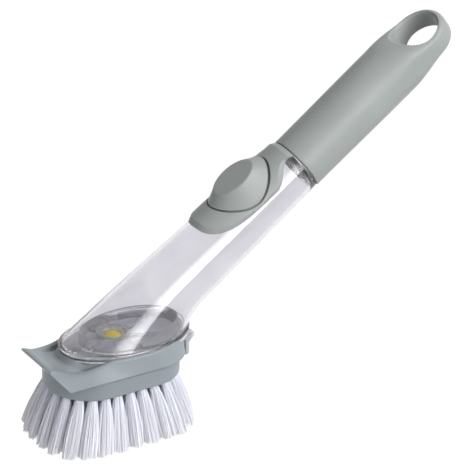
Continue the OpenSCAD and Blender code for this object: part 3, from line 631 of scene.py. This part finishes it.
def make_bezel():
    """Closed bands round the button's hole: from a thin lip under the button up the hole's wall,
    over the top to a crease, down a bevel to the outline, and back underneath on the tank. Each
    band is a straight line in the plan unrolled from the tank, from a point of the oval hole to
    one of the outline."""
    radius = barrel_r(BUTTON_U) + BEZEL_T
    q = np.linspace(0, 1, 110)
    side_u = BEZEL_L - (BEZEL_L - 0.3) * (0.55 * (1 - q) ** 3 + 0.45 * (1 - q) ** 1.4)
    side_w = np.maximum(bezel_half(side_u), 0) * radius
    end_w = np.linspace(-1, 1, 41)[1:-1] * side_w[0]
    u = np.concatenate([np.full(39, side_u[0]), side_u, side_u[-2::-1]])
    w = np.concatenate([end_w, side_w, -side_w[-2::-1]])
    # Each outline point pairs with the hole's point in nearly the same direction
    angle = np.unwrap(np.arctan2(w / BUTTON_B, (u - BUTTON_U) / BUTTON_A))
    fall = np.minimum.accumulate(angle)
    even = fall[0] + (fall[-1] - fall[0]) * np.arange(len(u)) / (len(u) - 1)
    angle = 0.93 * fall + 0.07 * even
    hole_w = np.arcsin(BUTTON_B * np.sin(angle) / radius) * radius
    hole = np.stack([BUTTON_U + BUTTON_A * np.cos(angle), hole_w], -1)
    gap = np.stack([u, w], -1) - hole
    length = np.linalg.norm(gap, axis=-1)
    way = gap / length[:, None]

    def plan(distance):
        p = hole + way * (distance + 0 * length)[:, None]
        return p[:, 0], p[:, 1] / radius

    def band(distance, below=0.0, lift=None):
        u, turn = plan(distance)
        r = barrel_r(u) + (bezel_proud(u) - below if lift is None else lift)
        return on_tank(u, r * np.sin(turn), r * np.cos(turn))

    def shaft(distance, drop):
        """A ring of the hole's wall, this far straight down the button's travel from the top, but
        never lower than just under the pressed button or than the tank."""
        u, turn = plan(distance)
        r = barrel_r(u) + bezel_proud(u)
        y, h = r * np.sin(turn), r * np.cos(turn)
        under = np.sqrt(BUTTON_UNDER ** 2 - (0.965 * y) ** 2) - 0.45
        on_it = np.sqrt((barrel_r(u) + 0.15) ** 2 - y * y)
        return on_tank(u, y, np.maximum(h - drop, np.maximum(under, on_it)))

    top_from = 0.75
    bevel = np.minimum(BEVEL_W, (length - top_from) * 0.55)
    top_to = length - bevel
    rows = [band(-2.4, lift=0.02), band(-2.4, lift=0.15), shaft(0.2, 9), shaft(0.22, 1.2), shaft(0.26, 0.5)]
    rows += [band(*row) for row in [(0.33, 0.2), (0.44, 0.06), (0.6, 0.01)]]
    rows += [band(top_from + (top_to - top_from) * k) for k in np.linspace(0, 1, 13)]
    rows += [band(top_to + (bevel - 0.2) * k, BEVEL_DROP * k) for k in (0.3, 0.6, 0.9, 1)]
    rows += [band(length - 0.06, BEVEL_DROP + 0.1), band(length, BEVEL_DROP + 0.25)]
    rows += [band(length * k, lift=0.02) for k in (1, 0.5)]
    saddle = np.array(rows)
    skin("button_bezel_saddle", [(saddle, True)], GREY, "wand", ["button_bezel"], 15)


def make_button():
    """Oval rings: the underside on a cylinder round the tank, the skirt and a flank that climbs
    straight from the saddle line of the bezel to the flat top, with a softly rounded edge."""
    t = TAU * np.arange(144) / 144
    a, b = BUTTON_A - BUTTON_GAP, BUTTON_B - BUTTON_GAP
    saddle = barrel_r(BUTTON_U) + BEZEL_T

    def oval(p, q, h):
        return on_tank(BUTTON_U + p * np.cos(t), q * np.sin(t), h)

    def under(y):
        return BUTTON_TRAVEL + np.sqrt(BUTTON_UNDER ** 2 - y * y)

    def above(shrink, lift):
        y = (b - shrink) * np.sin(t)
        return oval(a - shrink, b - shrink, np.maximum(np.sqrt(saddle ** 2 - y * y) + lift, under(y) + 0.15))

    rows = [oval(a * k, b * k, under(b * k * np.sin(t))) for k in (0, 0.3, 0.6, 0.8, 0.92, 0.985)]
    rows += [above(*row) for row in [(0.1, -0.6), (0.25, 0.1), (0.31, 0.42), (0.42, 0.7)]]
    foot, crown = above(0.6, 0.9), oval(BUTTON_TOP_A + 0.35, BUTTON_TOP_B + 0.35, BUTTON_TOP_H)
    rows += [foot + (crown - foot) * k for k in np.linspace(0, 0.93, 14)]
    start, flat_a, flat_b = rows[-1], BUTTON_TOP_A - 0.5, BUTTON_TOP_B - 0.5
    end = oval(flat_a, flat_b, BUTTON_TOP_H)
    rows += [bend(start, crown, end, q) for q in np.linspace(0, 1, 8)[1:]]
    rows += [oval(flat_a * k, flat_b * k, BUTTON_TOP_H) for k in (0.85, 0.6, 0.3, 0)]
    skin("button_cap", [(np.array(rows), False)], GREY, "button", ["button"], 40)


# ---------------- head

# Where the shell's outlines turn from the front to the side and to the rear, as shares of the way round
CORNER_K, SIDE_K, SIDE_X, MEET_K, MEET_X = 0.15, 0.6, 14.0, 0.42, -12.0
RIM_A, RIM_B = FOOT_A + FLANGE_W + 0.6, FOOT_B + FLANGE_W + 0.6


def lower_edge(k):
    """The shell's lower outline, from the front's middle (k = 0) to the rear's middle (k = 1): a
    straight front, a straight side and a rounded rear of power 0.8."""
    q = np.clip(np.pi / 2 * (k - SIDE_K) / (1 - SIDE_K), 0, np.pi / 2)
    side = (k - CORNER_K) / (SIDE_K - CORNER_K)
    x = np.where(k < SIDE_K, -SHELL_FRONT + (SIDE_X + SHELL_FRONT) * side,
        SIDE_X + (SHELL_REAR - SIDE_X) * np.sin(q) ** 0.8)
    y = np.where(k < SIDE_K, SHELL_B, SHELL_B * np.cos(q) ** 0.8)
    front = k < CORNER_K
    x, y = np.where(front, -SHELL_FRONT, x), np.where(front, SHELL_B * k / CORNER_K, y)
    return np.stack([x, y, SHELL_Z + 0 * k], -1)


def upper_edge(k):
    """The shell's upper outline: the straight lip, a ridge that dips by 3.9 sin(pi q to the 0.85) on
    its way up to the flange, then the flange's oval, pulled in at the rear for the latch."""
    q = np.clip((k - CORNER_K) / (MEET_K - CORNER_K), 0, 1)
    meet_angle = np.arccos((MEET_X - FOOT_X) / RIM_A)
    meet_y = RIM_B * np.sin(meet_angle)
    turn = meet_angle * np.clip(1 - (k - MEET_K) / (1 - MEET_K), 0, 1)
    reach = np.where(turn < np.pi / 2, SHELL_REAR + 1.8 - FOOT_X, RIM_A)
    high = FOOT_BOTTOM - 0.1
    ridge = [-LIP_X + (MEET_X + LIP_X) * q, LIP_B + (meet_y - LIP_B) * q,
        LIP_Z + (high - LIP_Z) * q - SCOOP_DIP * np.sin(np.pi * q ** 0.85)]
    oval = [FOOT_X + reach * np.cos(turn), RIM_B * np.sin(turn), high]
    lip = [-LIP_X, LIP_B * k / CORNER_K, LIP_Z]
    parts = [np.where(k < CORNER_K, c, np.where(k < MEET_K, b, a)) for a, b, c in zip(oval, ridge, lip)]
    return np.stack(parts, -1)


def plan_loop(grow, count):
    """Points round the block's rounded plan, evenly spaced along it from the front's middle over
    the +y side: corner radii 25 in front and 22 behind, all sides moved out by grow."""
    f, r, front, a, b = 25 + grow, 22 + grow, BLOCK_FRONT + grow, BLOCK_A + grow, BLOCK_B + grow
    q = np.linspace(0, np.pi / 2, 40)
    half = np.concatenate([
        [[-front, 0]], np.stack([-front + f - f * np.cos(q), b - f + f * np.sin(q)], -1),
        np.stack([a - r + r * np.sin(q), b - r + r * np.cos(q)], -1), [[a, 0]]])
    path = np.concatenate([half, (half * [1, -1])[-2::-1]])
    far = np.concatenate([[0], np.cumsum(np.linalg.norm(np.diff(path, axis=0), axis=1))])
    where = far[-1] * np.arange(count) / count
    return np.stack([np.interp(where, far, path[:, 0]), np.interp(where, far, path[:, 1])], -1)


def make_shell():
    """Rings of the two outlines: the side from the lower edge to the upper one, a ridge rounded as
    a quadratic curve, the scoop's bowl down to the plate's recess, the recess, the soap channel
    and the cavity for the block's plug, closed on themselves."""
    half = np.unique(np.concatenate([np.linspace(0, CORNER_K, 13), [CORNER_K - 0.004, CORNER_K + 0.004],
        np.linspace(CORNER_K, MEET_K, 55), np.linspace(MEET_K, 1, 60)]))
    flip = np.array([1, -1, 1])
    low, high = lower_edge(half), upper_edge(half)
    toward = np.stack([FOOT_X - 8 - high[:, 0], -high[:, 1], 0 * half], -1)
    toward /= np.linalg.norm(toward, axis=-1, keepdims=True)
    # The ridge beside the scoop is rounded over some 4 mm, and the lip and the rim by the flange over 1.5 mm
    soft = (smooth((half - CORNER_K) / 0.06) * smooth((MEET_K - 0.03 - half) / 0.12))[:, None]
    shoulder = 0.86 - 0.16 * soft
    rows = [low + toward * 0.35, low + toward * 0.08 + [0, 0, 0.12]]
    rows += [low + (high - low) * h * shoulder for h in (0.05, 0.15, 0.3, 0.45, 0.6, 0.75, 0.88, 0.96)]
    start, ridge = low + (high - low) * shoulder, high + toward * (1.7 + 1.8 * soft) - [0, 0, 1] * soft * 0.4
    rows += [bend(start, high, ridge, q) for q in np.linspace(0, 1, 13)]
    # The bowl's own outline is the ridge averaged along itself with bell-shaped weights 5 mm wide,
    # so that the corner of the lip fades out towards the middle
    front = smooth((MEET_K + 0.02 - half) / 0.1)[:, None]
    around = np.concatenate([-half[:0:-1], half, 2 - half[-2::-1]])
    whole = np.concatenate([(ridge * flip)[:0:-1], ridge, (ridge * flip)[-2::-1]])
    weight = np.exp(-((around[None, :] - half[:, None]) / 0.07) ** 2) * np.gradient(around)
    eased = ridge + front * (weight @ whole / weight.sum(1, keepdims=True) - ridge)
    # Where the line from there to the middle of the seat meets the recess's oval, by the quadratic formula
    centre = np.array([FOOT_X + 4, 0, GASKET_BOTTOM + 0.4])
    oval = np.array([FOOT_A + FLANGE_W - 0.45, FOOT_B + FLANGE_W - 0.45])
    p, d = (eased[:, :2] - [FOOT_X, 0]) / oval, (centre - eased)[:, :2] / oval
    A, B, C = (d * d).sum(-1), 2 * (p * d).sum(-1), (p * p).sum(-1) - 1
    hit = np.clip((-B - np.sqrt(np.maximum(B * B - 4 * A * C, 0))) / (2 * A), 0.002, 1)
    for q in (0.05, 0.11, 0.18, 0.26, 0.35, 0.45, 0.56, 0.67, 0.77, 0.85, 0.9, 0.94, 0.97, 1):
        base = ridge + (eased - ridge) * smooth(q / 0.6)
        depth = BOWL_DEPTH * smooth(q / 0.5) * (1 - smooth((q - 0.84) / 0.16))
        rows.append(base + (centre - base) * (hit * q)[:, None] - [0, 0, depth] * front)
    seat = rows[-1] * [1, 1, 0]
    rows += [seat + [0, 0, GASKET_BOTTOM + 0.15], seat + [0, 0, GASKET_BOTTOM]]
    rows = [np.concatenate([r, (r * flip)[-2:0:-1]]) for r in rows]
    seat, count = rows[-1], len(rows[-1])
    turn = np.arctan2(seat[:, 1], seat[:, 0])
    hole = np.stack([CHANNEL_R * np.cos(turn), CHANNEL_R * np.sin(turn), 0 * turn], -1)
    rows += [seat + (hole + [0, 0, GASKET_BOTTOM] - seat) * q for q in (0.4, 0.8, 1)]
    cavity = SHELL_Z + 1.5
    plan = np.concatenate([plan_loop(-2.8, count), np.full((count, 1), cavity)], -1)
    rows += [hole + [0, 0, cavity], plan, plan * [1, 1, 0] + [0, 0, SHELL_Z]]
    skin("scraper_shell_scoop", [(np.array(rows), True)], HEAD_GREY, "wand",
        ["scraper_shell"], 30)


def make_ears():
    """Two flat ears for the latch's pin: one outline shrunk towards its middle at both faces."""
    arc = np.linspace(-np.pi / 2, np.pi / 2, 33)
    round_end = np.stack([2.9 * np.cos(arc), -0.5 + 2.9 * np.sin(arc)], -1)
    middle = np.array([-0.5, -0.5])
    out = np.concatenate([[(-5.5, -3.4)], round_end, [(-5.5, 2.4)]]) - middle
    stack = [(0, 0), (0.88, 0), (0.97, 0.15), (1, 0.4), (1, 1.4), (0.97, 1.65), (0.88, 1.8), (0, 1.8)]
    ears = []
    for side in (-1, 1):
        y = side * (LATCH_W / 2 + 0.3)
        rings = [upright(PIN_X + middle[0] + out[:, 0] * k, y + side * w, PIN_Z + middle[1] + out[:, 1] * k)
            for k, w in stack]
        ears.append((np.array(rings), False))
    skin("latch_ears", ears, CLEAR_SATIN, "wand", (), 40)


def make_block():
    """Rounded-plan rings: a lower face, a lower edge of 1.2 mm radius, the straight side with its
    catch for the latch, a small upper chamfer and the plug, with the soap outlet down the middle."""
    count = 480
    t = TAU * np.arange(count) / count
    top = SHELL_Z - GROOVE - 0.45

    def level(grow, z, catch=0.0):
        plan = plan_loop(grow, count)
        plan[:, 0] -= catch * (plan[:, 0] > 20) * smooth((6.6 - np.abs(plan[:, 1])) / 0.5)
        return upright(plan[:, 0], plan[:, 1], z)

    rows = [upright(-OUTLET_R * np.cos(t), OUTLET_R * np.sin(t), z) for z in (top + 1.75, BLOCK_Z)]
    flat = level(-1.2, BLOCK_Z)
    rows += [rows[1] + (flat - rows[1]) * q for q in (0.3, 0.7)]
    arc = np.linspace(0, np.pi / 2, 9)
    rows += [level(-1.2 * (1 - np.sin(q)), BLOCK_Z + 1.2 * (1 - np.cos(q))) for q in arc]
    side = [(0, 32.7), (0, 32.85, 2), (0, 36.7, 2), (0, 36.85), (0, top - 0.5), (0, top - 0.25),
        (-0.12, top - 0.08), (-0.35, top), (-2.95, top), (-2.95, top + 1.5), (-3.15, top + 1.75)]
    rows += [level(*row) for row in side]
    skin("brush_block_body", [(np.array(rows), True)], HEAD_GREY, "wand", ["brush_block"], 40)


def make_latch():
    """The lever's slab is its outline shrunk at both faces by a rounded edge. The hub and the knob
    are turned profiles, and the hook is a flat bar under the lever's inner face."""
    hook_z = BLOCK_Z + 3.6
    half_w = LATCH_W / 2
    q = np.linspace(0, np.pi, 49)
    bottom = np.stack([half_w * np.cos(q), hook_z - 3 * np.sin(q)], -1)
    top = [(-half_w, PIN_Z - 0.6), (0.6 - half_w, PIN_Z), (half_w - 0.6, PIN_Z), (half_w, PIN_Z - 0.6)]
    middle = np.array([0, (hook_z + PIN_Z) / 2])
    out = np.concatenate([bottom, top]) - middle

    def slab(x, inset):
        p = middle + out * (1 - inset / np.array([half_w, 7.7]))
        return upright(PIN_X + x, p[:, 0], p[:, 1])

    faces = [(1.1, half_w), (1.1, 0.6), (1.0, 0.25), (0.75, 0.05), (0.4, 0)]
    lever = np.array([slab(-x, inset) for x, inset in faces] + [slab(x, inset) for x, inset in faces[::-1]])
    lever[0], lever[-1] = lever[0].mean(0), lever[-1].mean(0)
    parts = [lever]
    knob = [(0, 0), (KNOB_R - 0.2, 0.2), (KNOB_R, 3.9), (KNOB_R - 1.2, 4.3), (0, 4.1)]
    knob = rounded(knob, [0, 0.3, 0.9, 0.9, 0], 5)
    parts.append(ring_stack(knob, 56, lambda c, s, h: upright(PIN_X + h, c, PIN_Z - 6.1 + s)))
    bar = np.repeat(np.array([(-4.9, -0.7), (4.9, -0.7), (4.9, 0.7), (-4.9, 0.7)]), 2, axis=0)
    bar[::2, 0] *= 0.97
    bar[1::2, 1] *= 0.9
    hook = [(BLOCK_A - 1.35, 0), (BLOCK_A - 1.35, 0.8), (BLOCK_A - 1.1, 1), (PIN_X - 0.9, 1), (PIN_X - 0.9, 0)]
    parts.append(np.array([
        upright(x, bar[:, 0] * k, hook_z + 1.35 + bar[:, 1] * k) for x, k in hook]))
    hub = rounded([(0, 2), (2.2, 2), (2.2, half_w), (0, half_w)], 0.35)
    for side in (-1, 1):
        parts.append(ring_stack(hub, 40, lambda c, s, h: upright(PIN_X + c, side * h, PIN_Z + s)))
    skin("latch_lever", [(part, False) for part in parts], CLEAR_SATIN, "latch", ["latch"], 40)


def make_spring():
    """A round wire along a helix of five turns on the latch's pin, with a straight tail at one end."""
    turn = np.linspace(0, 5 * TAU, 161)
    coil_r, wire_r, start_y, width = 1.4, 0.24, 1.55, 3.0
    x, y, z = coil_r * np.cos(turn), start_y - width * turn / turn[-1], coil_r * np.sin(turn)
    path = np.stack([PIN_X + x, y, PIN_Z + z], -1)
    tail = path[-1] + np.linspace(0, 1, 9)[1:, None] * [0.1, 0, 1.7]
    path = np.concatenate([path, tail])
    along = np.gradient(path, axis=0)
    along /= np.linalg.norm(along, axis=1, keepdims=True)
    side = np.cross(along, ACROSS)
    side /= np.linalg.norm(side, axis=1, keepdims=True)
    other = np.cross(along, side)
    t = (TAU * np.arange(10) / 10)[None, :, None]
    wire = path[:, None] + wire_r * (np.cos(t) * side[:, None] + np.sin(t) * other[:, None])
    wire = np.concatenate([np.repeat(path[:1], 10, 0)[None], wire, np.repeat(path[-1:], 10, 0)[None]])
    skin("latch_spring_wire", [(wire, False)], STEEL, "wand", ["latch_spring"], 60)


# ---------------- bristles


def track(k, a, b, r):
    """Points at the share k of the way round a rectangle of half sizes a and b with corners of
    radius r, starting on the +x side: each quarter is a straight, a bend and a straight."""
    quarter = a + b - 2 * r + r * np.pi / 2
    s = k * 4 * quarter
    n = np.floor(s / quarter + 1e-6).astype(int)
    t = s - n * quarter
    n = n % 4
    t = np.where(n % 2 == 0, t, quarter - t)
    side, curve = b - r, r * np.pi / 2
    q = np.clip((t - side) / r, 0, np.pi / 2)
    x = np.where(t < side, a, np.where(t < side + curve, a - r + r * np.cos(q), a - r - (t - side - curve)))
    y = np.where(t < side, t, np.where(t < side + curve, b - r + r * np.sin(q), b))
    return np.stack([np.where((n == 1) | (n == 2), -1, 1) * x, np.where(n > 1, -1, 1) * y], -1)


def make_tufts(name, node, root_row, tip_row, count, each):
    """Every tuft is a bundle of three-sided filaments. Each runs from a point of the root disc to
    the matching point of the wider tip disc, with a small bow and a tip trimmed a little unevenly.
    Points of a disc are at the root of an even share times the radius, turned by the golden angle.
    The tip disc falls into six clumps, each with its own lean and trim, as worn bristles do.
    The filaments are drawn 0.54 mm thick, about twice their real size, and fewer to match."""
    golden, clumps, root_disc, tip_disc, widest = 2.39996, 6, 1.95, 3.8, 3.82
    k = (np.arange(count) + 0.5) / count
    root = track(k, *root_row) + [(BLOCK_A - BLOCK_FRONT) / 2, 0]
    tip = track(k, *tip_row) + [TIPS_X, 0]
    n = np.arange(each)
    share = np.sqrt((n + 0.5) / each)
    angle = n * golden + RNG.uniform(0, TAU, (count, 1))
    jitter = RNG.normal(0, 0.055, (count, each, 2))
    disc = np.stack([share * np.cos(angle), share * np.sin(angle)], -1) + jitter
    disc /= np.maximum(np.linalg.norm(disc, axis=-1, keepdims=True), 1)
    start = np.concatenate([root[:, None] + disc * root_disc, np.full((count, each, 1), BLOCK_Z + 0.6)], -1)
    clump = (angle / (TAU / clumps)).astype(int) % clumps
    lean = np.take_along_axis(RNG.normal(0, 0.55, (count, clumps, 2)), clump[..., None], 1)
    trim = np.take_along_axis(RNG.uniform(0, 0.7, (count, clumps)), clump, 1)
    cut = np.abs(RNG.normal(0, 0.25, (count, each))) + trim
    spread = disc * tip_disc + lean
    spread /= np.maximum(np.linalg.norm(spread, axis=-1, keepdims=True) / widest, 1)
    # Neighbours meet at the tips, so a tuft is a seventh wider along its row than across it
    row_way = track(k + 0.002, *tip_row) - track(k - 0.002, *tip_row)
    row_way = (row_way / np.linalg.norm(row_way, axis=-1, keepdims=True))[:, None]
    spread = spread + 0.15 * (spread * row_way).sum(-1, keepdims=True) * row_way
    end = np.concatenate([tip[:, None] + spread, cut[..., None]], -1)
    # The bundle swells soon after it leaves its hole, so that neighbours nearly meet half way down
    bow = RNG.normal(0, 0.3, (count, each, 2)) + disc * 1.1
    bow = np.concatenate([bow, np.zeros((count, each, 1))], -1)
    steps = np.array([0, 0.3, 0.62, 0.86, 1.0])
    f = steps[:, None]
    line = start[..., None, :] * (1 - f) + end[..., None, :] * f + bow[..., None, :] * np.sin(np.pi * f * 0.9)
    thick = np.array([0.27, 0.27, 0.27, 0.27, 0.22])[:, None]
    turn = TAU * np.arange(3) / 3 + RNG.uniform(0, TAU, (count, each))[..., None, None]
    around = np.stack([thick * np.cos(turn), thick * np.sin(turn), 0 * thick * turn], -1)
    points = line[..., None, :] + around
    total = count * each
    quads = grid_faces(5, 3, False, True)[:, ::-1]
    base = (np.arange(total) * 15)[:, None, None]
    faces = [(base + quads).reshape(-1, 4), (base + np.array([[0, 1, 2], [14, 13, 12]])).reshape(-1, 3)]
    mesh = bpy.data.meshes.new(name)
    fill(mesh, lay(points.reshape(-1, 3)), faces, smoothed=False)
    along = np.broadcast_to(steps[None, :, None], (total, 5, 3))
    shade = np.broadcast_to(RNG.uniform(0, 1, (total, 1, 1)), (total, 5, 3))
    for key, values in (("along", along), ("shade", shade)):
        mesh.attributes.new(key, "FLOAT", "POINT").data.foreach_set("value", values.ravel().astype(np.float32))
    dress(name, mesh, NYLON, "wand", [node])


make_grip()
make_tank()
make_well()
make_base_plate()
make_pad()
make_valve()
make_bezel()
make_button()
make_shell()
make_ears()
make_block()
make_latch()
make_spring()
HALF = (BLOCK_A + BLOCK_FRONT) / 2
# Half sizes and corner radius of the row of roots and of the row of tips, then tufts and filaments
make_tufts("outer_bristles", "outer_tufts",
    (HALF - 4.5, BLOCK_B - 4.5, 17), (HALF + 4.1, BLOCK_B + 4.6, 22), 26, 190)
make_tufts("middle_bristles", "middle_tufts",
    (HALF - 12, BLOCK_B - 12, 8), (HALF - 4.5, BLOCK_B - 6, 14), 18, 170)
make_tufts("inner_bristles", "inner_tufts",
    (HALF - 19.5, BLOCK_B - 19.5, 6), (HALF - 16.5, BLOCK_B - 17, 8.5), 10, 170)

for node, finish in (("valve_ring", CLEAR_FOOT), ("tuft_anchors", STEEL), ("latch_pin", STEEL),
        ("diaphragm", MILKY), ("diaphragm_ring", GREY), ("grip_cap", GREY), ("neck_washer", MILKY)):
    for held in frame["nodes"][node].material_slots:
        held.material = finish


# ---------------- floor, light and camera


WHITE = linear("#FFFFFF")


def seen_directly(f):
    """1 for rays from the camera, a mirror surface or clear plastic, and 0 for the rest."""
    ray = f.add("LightPath").outputs
    either = f.add("Math", {0: ray["Is Camera Ray"], 1: ray["Is Glossy Ray"]}, operation="MAXIMUM")
    return f.add("Math", {0: either, 1: ray["Is Transmission Ray"]}, operation="MAXIMUM")


def make_floor():
    """A flat disc of rings under the wand. It looks white where light reaches it, keeps the
    wand's soft shadow, and lights the wand from below like pale card."""
    t = TAU * np.arange(96) / 96
    r = np.array([0.0, 0.4, 1.0, 2.2, 4.5])[:, None]
    points = np.stack([r * np.cos(t), r * np.sin(t), 0 * r * t], -1)
    mesh = bpy.data.meshes.new("studio_floor")
    fill(mesh, points.reshape(-1, 3), [grid_faces(len(r), len(t), False, True)])
    weld(mesh)
    floor = bpy.data.objects.new("studio_floor", mesh)
    bpy.context.scene.collection.objects.link(floor)
    f = material("white_paper_sweep")
    # Faint fibre mottling about 20 mm across keeps the paper from being a dead tone
    card = f.add("BsdfDiffuse", {"Color": f.ramp(f.noise(20.0, 3.0), 0.3, 0.7, "#DEDEDE", "#E4E4E4")})
    pale = f.add("BsdfDiffuse", {"Color": linear("#8A8A8A")})
    glow = f.add("Emission", {"Color": WHITE, "Strength": 0.93})
    white = f.add("AddShader", {0: pale, 1: glow})
    mesh.materials.append(f.finish(f.add("MixShader", {"Fac": seen_directly(f), 1: card, 2: white})))


def make_sky(right, up, back):
    """The room's soft light: dim on the wand's button side, bright on the other, white where seen."""
    world = bpy.data.worlds.new("studio_room")
    bpy.context.scene.world = world
    f = Finish(world, "World")
    bright = TO_ROW @ (0.95 * right - 0.05 * up + 0.20 * back)
    ray = f.add("TexCoord").outputs["Generated"]
    toward = f.add("VectorMath", {0: ray, 1: bright.tolist()}, operation="DOT_PRODUCT").outputs["Value"]
    level = f.add("MapRange", {
        "Value": toward, "From Min": -0.9, "From Max": 0.9, "To Min": 0.17, "To Max": 0.57},
        interpolation_type="SMOOTHSTEP")
    soft = f.add("Background", {"Color": linear("#FDFEFF"), "Strength": level})
    white = f.add("Background", {"Color": WHITE, "Strength": 1.0})
    f.finish(f.add("MixShader", {"Fac": seen_directly(f), 1: soft, 2: white}))


# The camera, in the wand's frame: azimuth, elevation, roll, distance, and the point it looks at
AZIMUTH, ELEVATION, ROLL = np.radians([32.031, 26.338, 1.137])
DISTANCE, WIDTH = 1831.0, 470 / 1.840
LOOK = np.array([70.0, 0, 80.0])
CAMERA_SHIFT = 5.221, 13.943


def camera_axes():
    """Right, up and back of the camera in the wand's frame."""
    right = np.array([np.cos(AZIMUTH), -np.sin(AZIMUTH), 0])
    up = np.array([np.sin(ELEVATION) * np.sin(AZIMUTH), np.sin(ELEVATION) * np.cos(AZIMUTH), np.cos(ELEVATION)])
    back = np.cross(right, up)
    return (np.cos(ROLL) * right + np.sin(ROLL) * up, -np.sin(ROLL) * right + np.cos(ROLL) * up, back)


def stand(obj, spot, right, up, back):
    """Puts a camera or lamp at a spot of the wand's frame, with its own x, y and z along three axes."""
    turned = np.stack([TO_ROW @ right, TO_ROW @ up, TO_ROW @ back], -1)
    matrix = Matrix(turned.tolist()).to_4x4()
    matrix.translation = Vector(lay(spot).tolist())
    obj.matrix_world = matrix
    bpy.context.scene.collection.objects.link(obj)


def make_camera(right, up, back):
    """A long lens, far enough away that the picture plane at the wand has the photo's scale."""
    data = bpy.data.cameras.new("camera")
    data.sensor_fit = "HORIZONTAL"
    data.sensor_width = 36.0
    data.lens = data.sensor_width * DISTANCE / WIDTH
    data.clip_start, data.clip_end = 0.05, 20.0
    camera = bpy.data.objects.new("camera", data)
    aside, above = CAMERA_SHIFT
    stand(camera, LOOK + aside * right + above * up + DISTANCE * back, right, up, back)
    bpy.context.scene.camera = camera


def make_lamp(name, toward, length, width, distance, radiance):
    """A softbox that faces the wand's middle from a direction of the wand's frame, its long side
    along the wand. The power for a radiance is pi times the area times it."""
    back = toward / np.linalg.norm(toward)
    long_way = TANK_ALONG - back * (TANK_ALONG @ back)
    long_way /= np.linalg.norm(long_way)
    data = bpy.data.lights.new(name, "AREA")
    data.shape = "RECTANGLE"
    data.size, data.size_y = length, width
    data.energy = np.pi * length * width * radiance
    # The softbox fades towards its long edges as 1 less the distance from its middle line to the 1.8
    f = Finish(data, "Light")
    place_y = f.add("SeparateXYZ", {"Vector": f.add("NewGeometry").outputs["Parametric"]}).outputs["Y"]
    off = f.add("Math", {0: place_y, 1: 2.0, 2: -1.0}, operation="MULTIPLY_ADD")
    loss = f.add("Math", {0: f.add("Math", {0: off}, operation="ABSOLUTE"), 1: 1.8}, operation="POWER")
    fade = f.add("Math", {0: 1.0, 1: loss}, operation="SUBTRACT")
    f.finish(f.add("Emission", {"Color": WHITE, "Strength": fade}))
    lamp = bpy.data.objects.new(name, data)
    stand(lamp, LOOK + distance / MM * back, long_way, np.cross(back, long_way), back)
    return lamp


right, up, back = camera_axes()
make_floor()
make_sky(right, up, back)
make_camera(right, up, back)
make_lamp("key_softbox", 0.90 * right + 0.24 * up + 0.52 * back, 1.4, 1.5, 0.95, 6.5)
# A weak card low in front of the bristles, without a mirror image on clear parts
card = make_lamp("fill_card", -0.65 * right - 0.70 * up + 0.30 * back, 0.9, 0.9, 0.95, 1.3)
card.visible_glossy = False

scene = bpy.context.scene
scene.view_settings.view_transform = "Standard"
# White bristles and clear walls inside clear walls pass light on many times before it is lost
scene.cycles.max_bounces = 32
scene.cycles.diffuse_bounces = 12
scene.cycles.transmission_bounces = 24
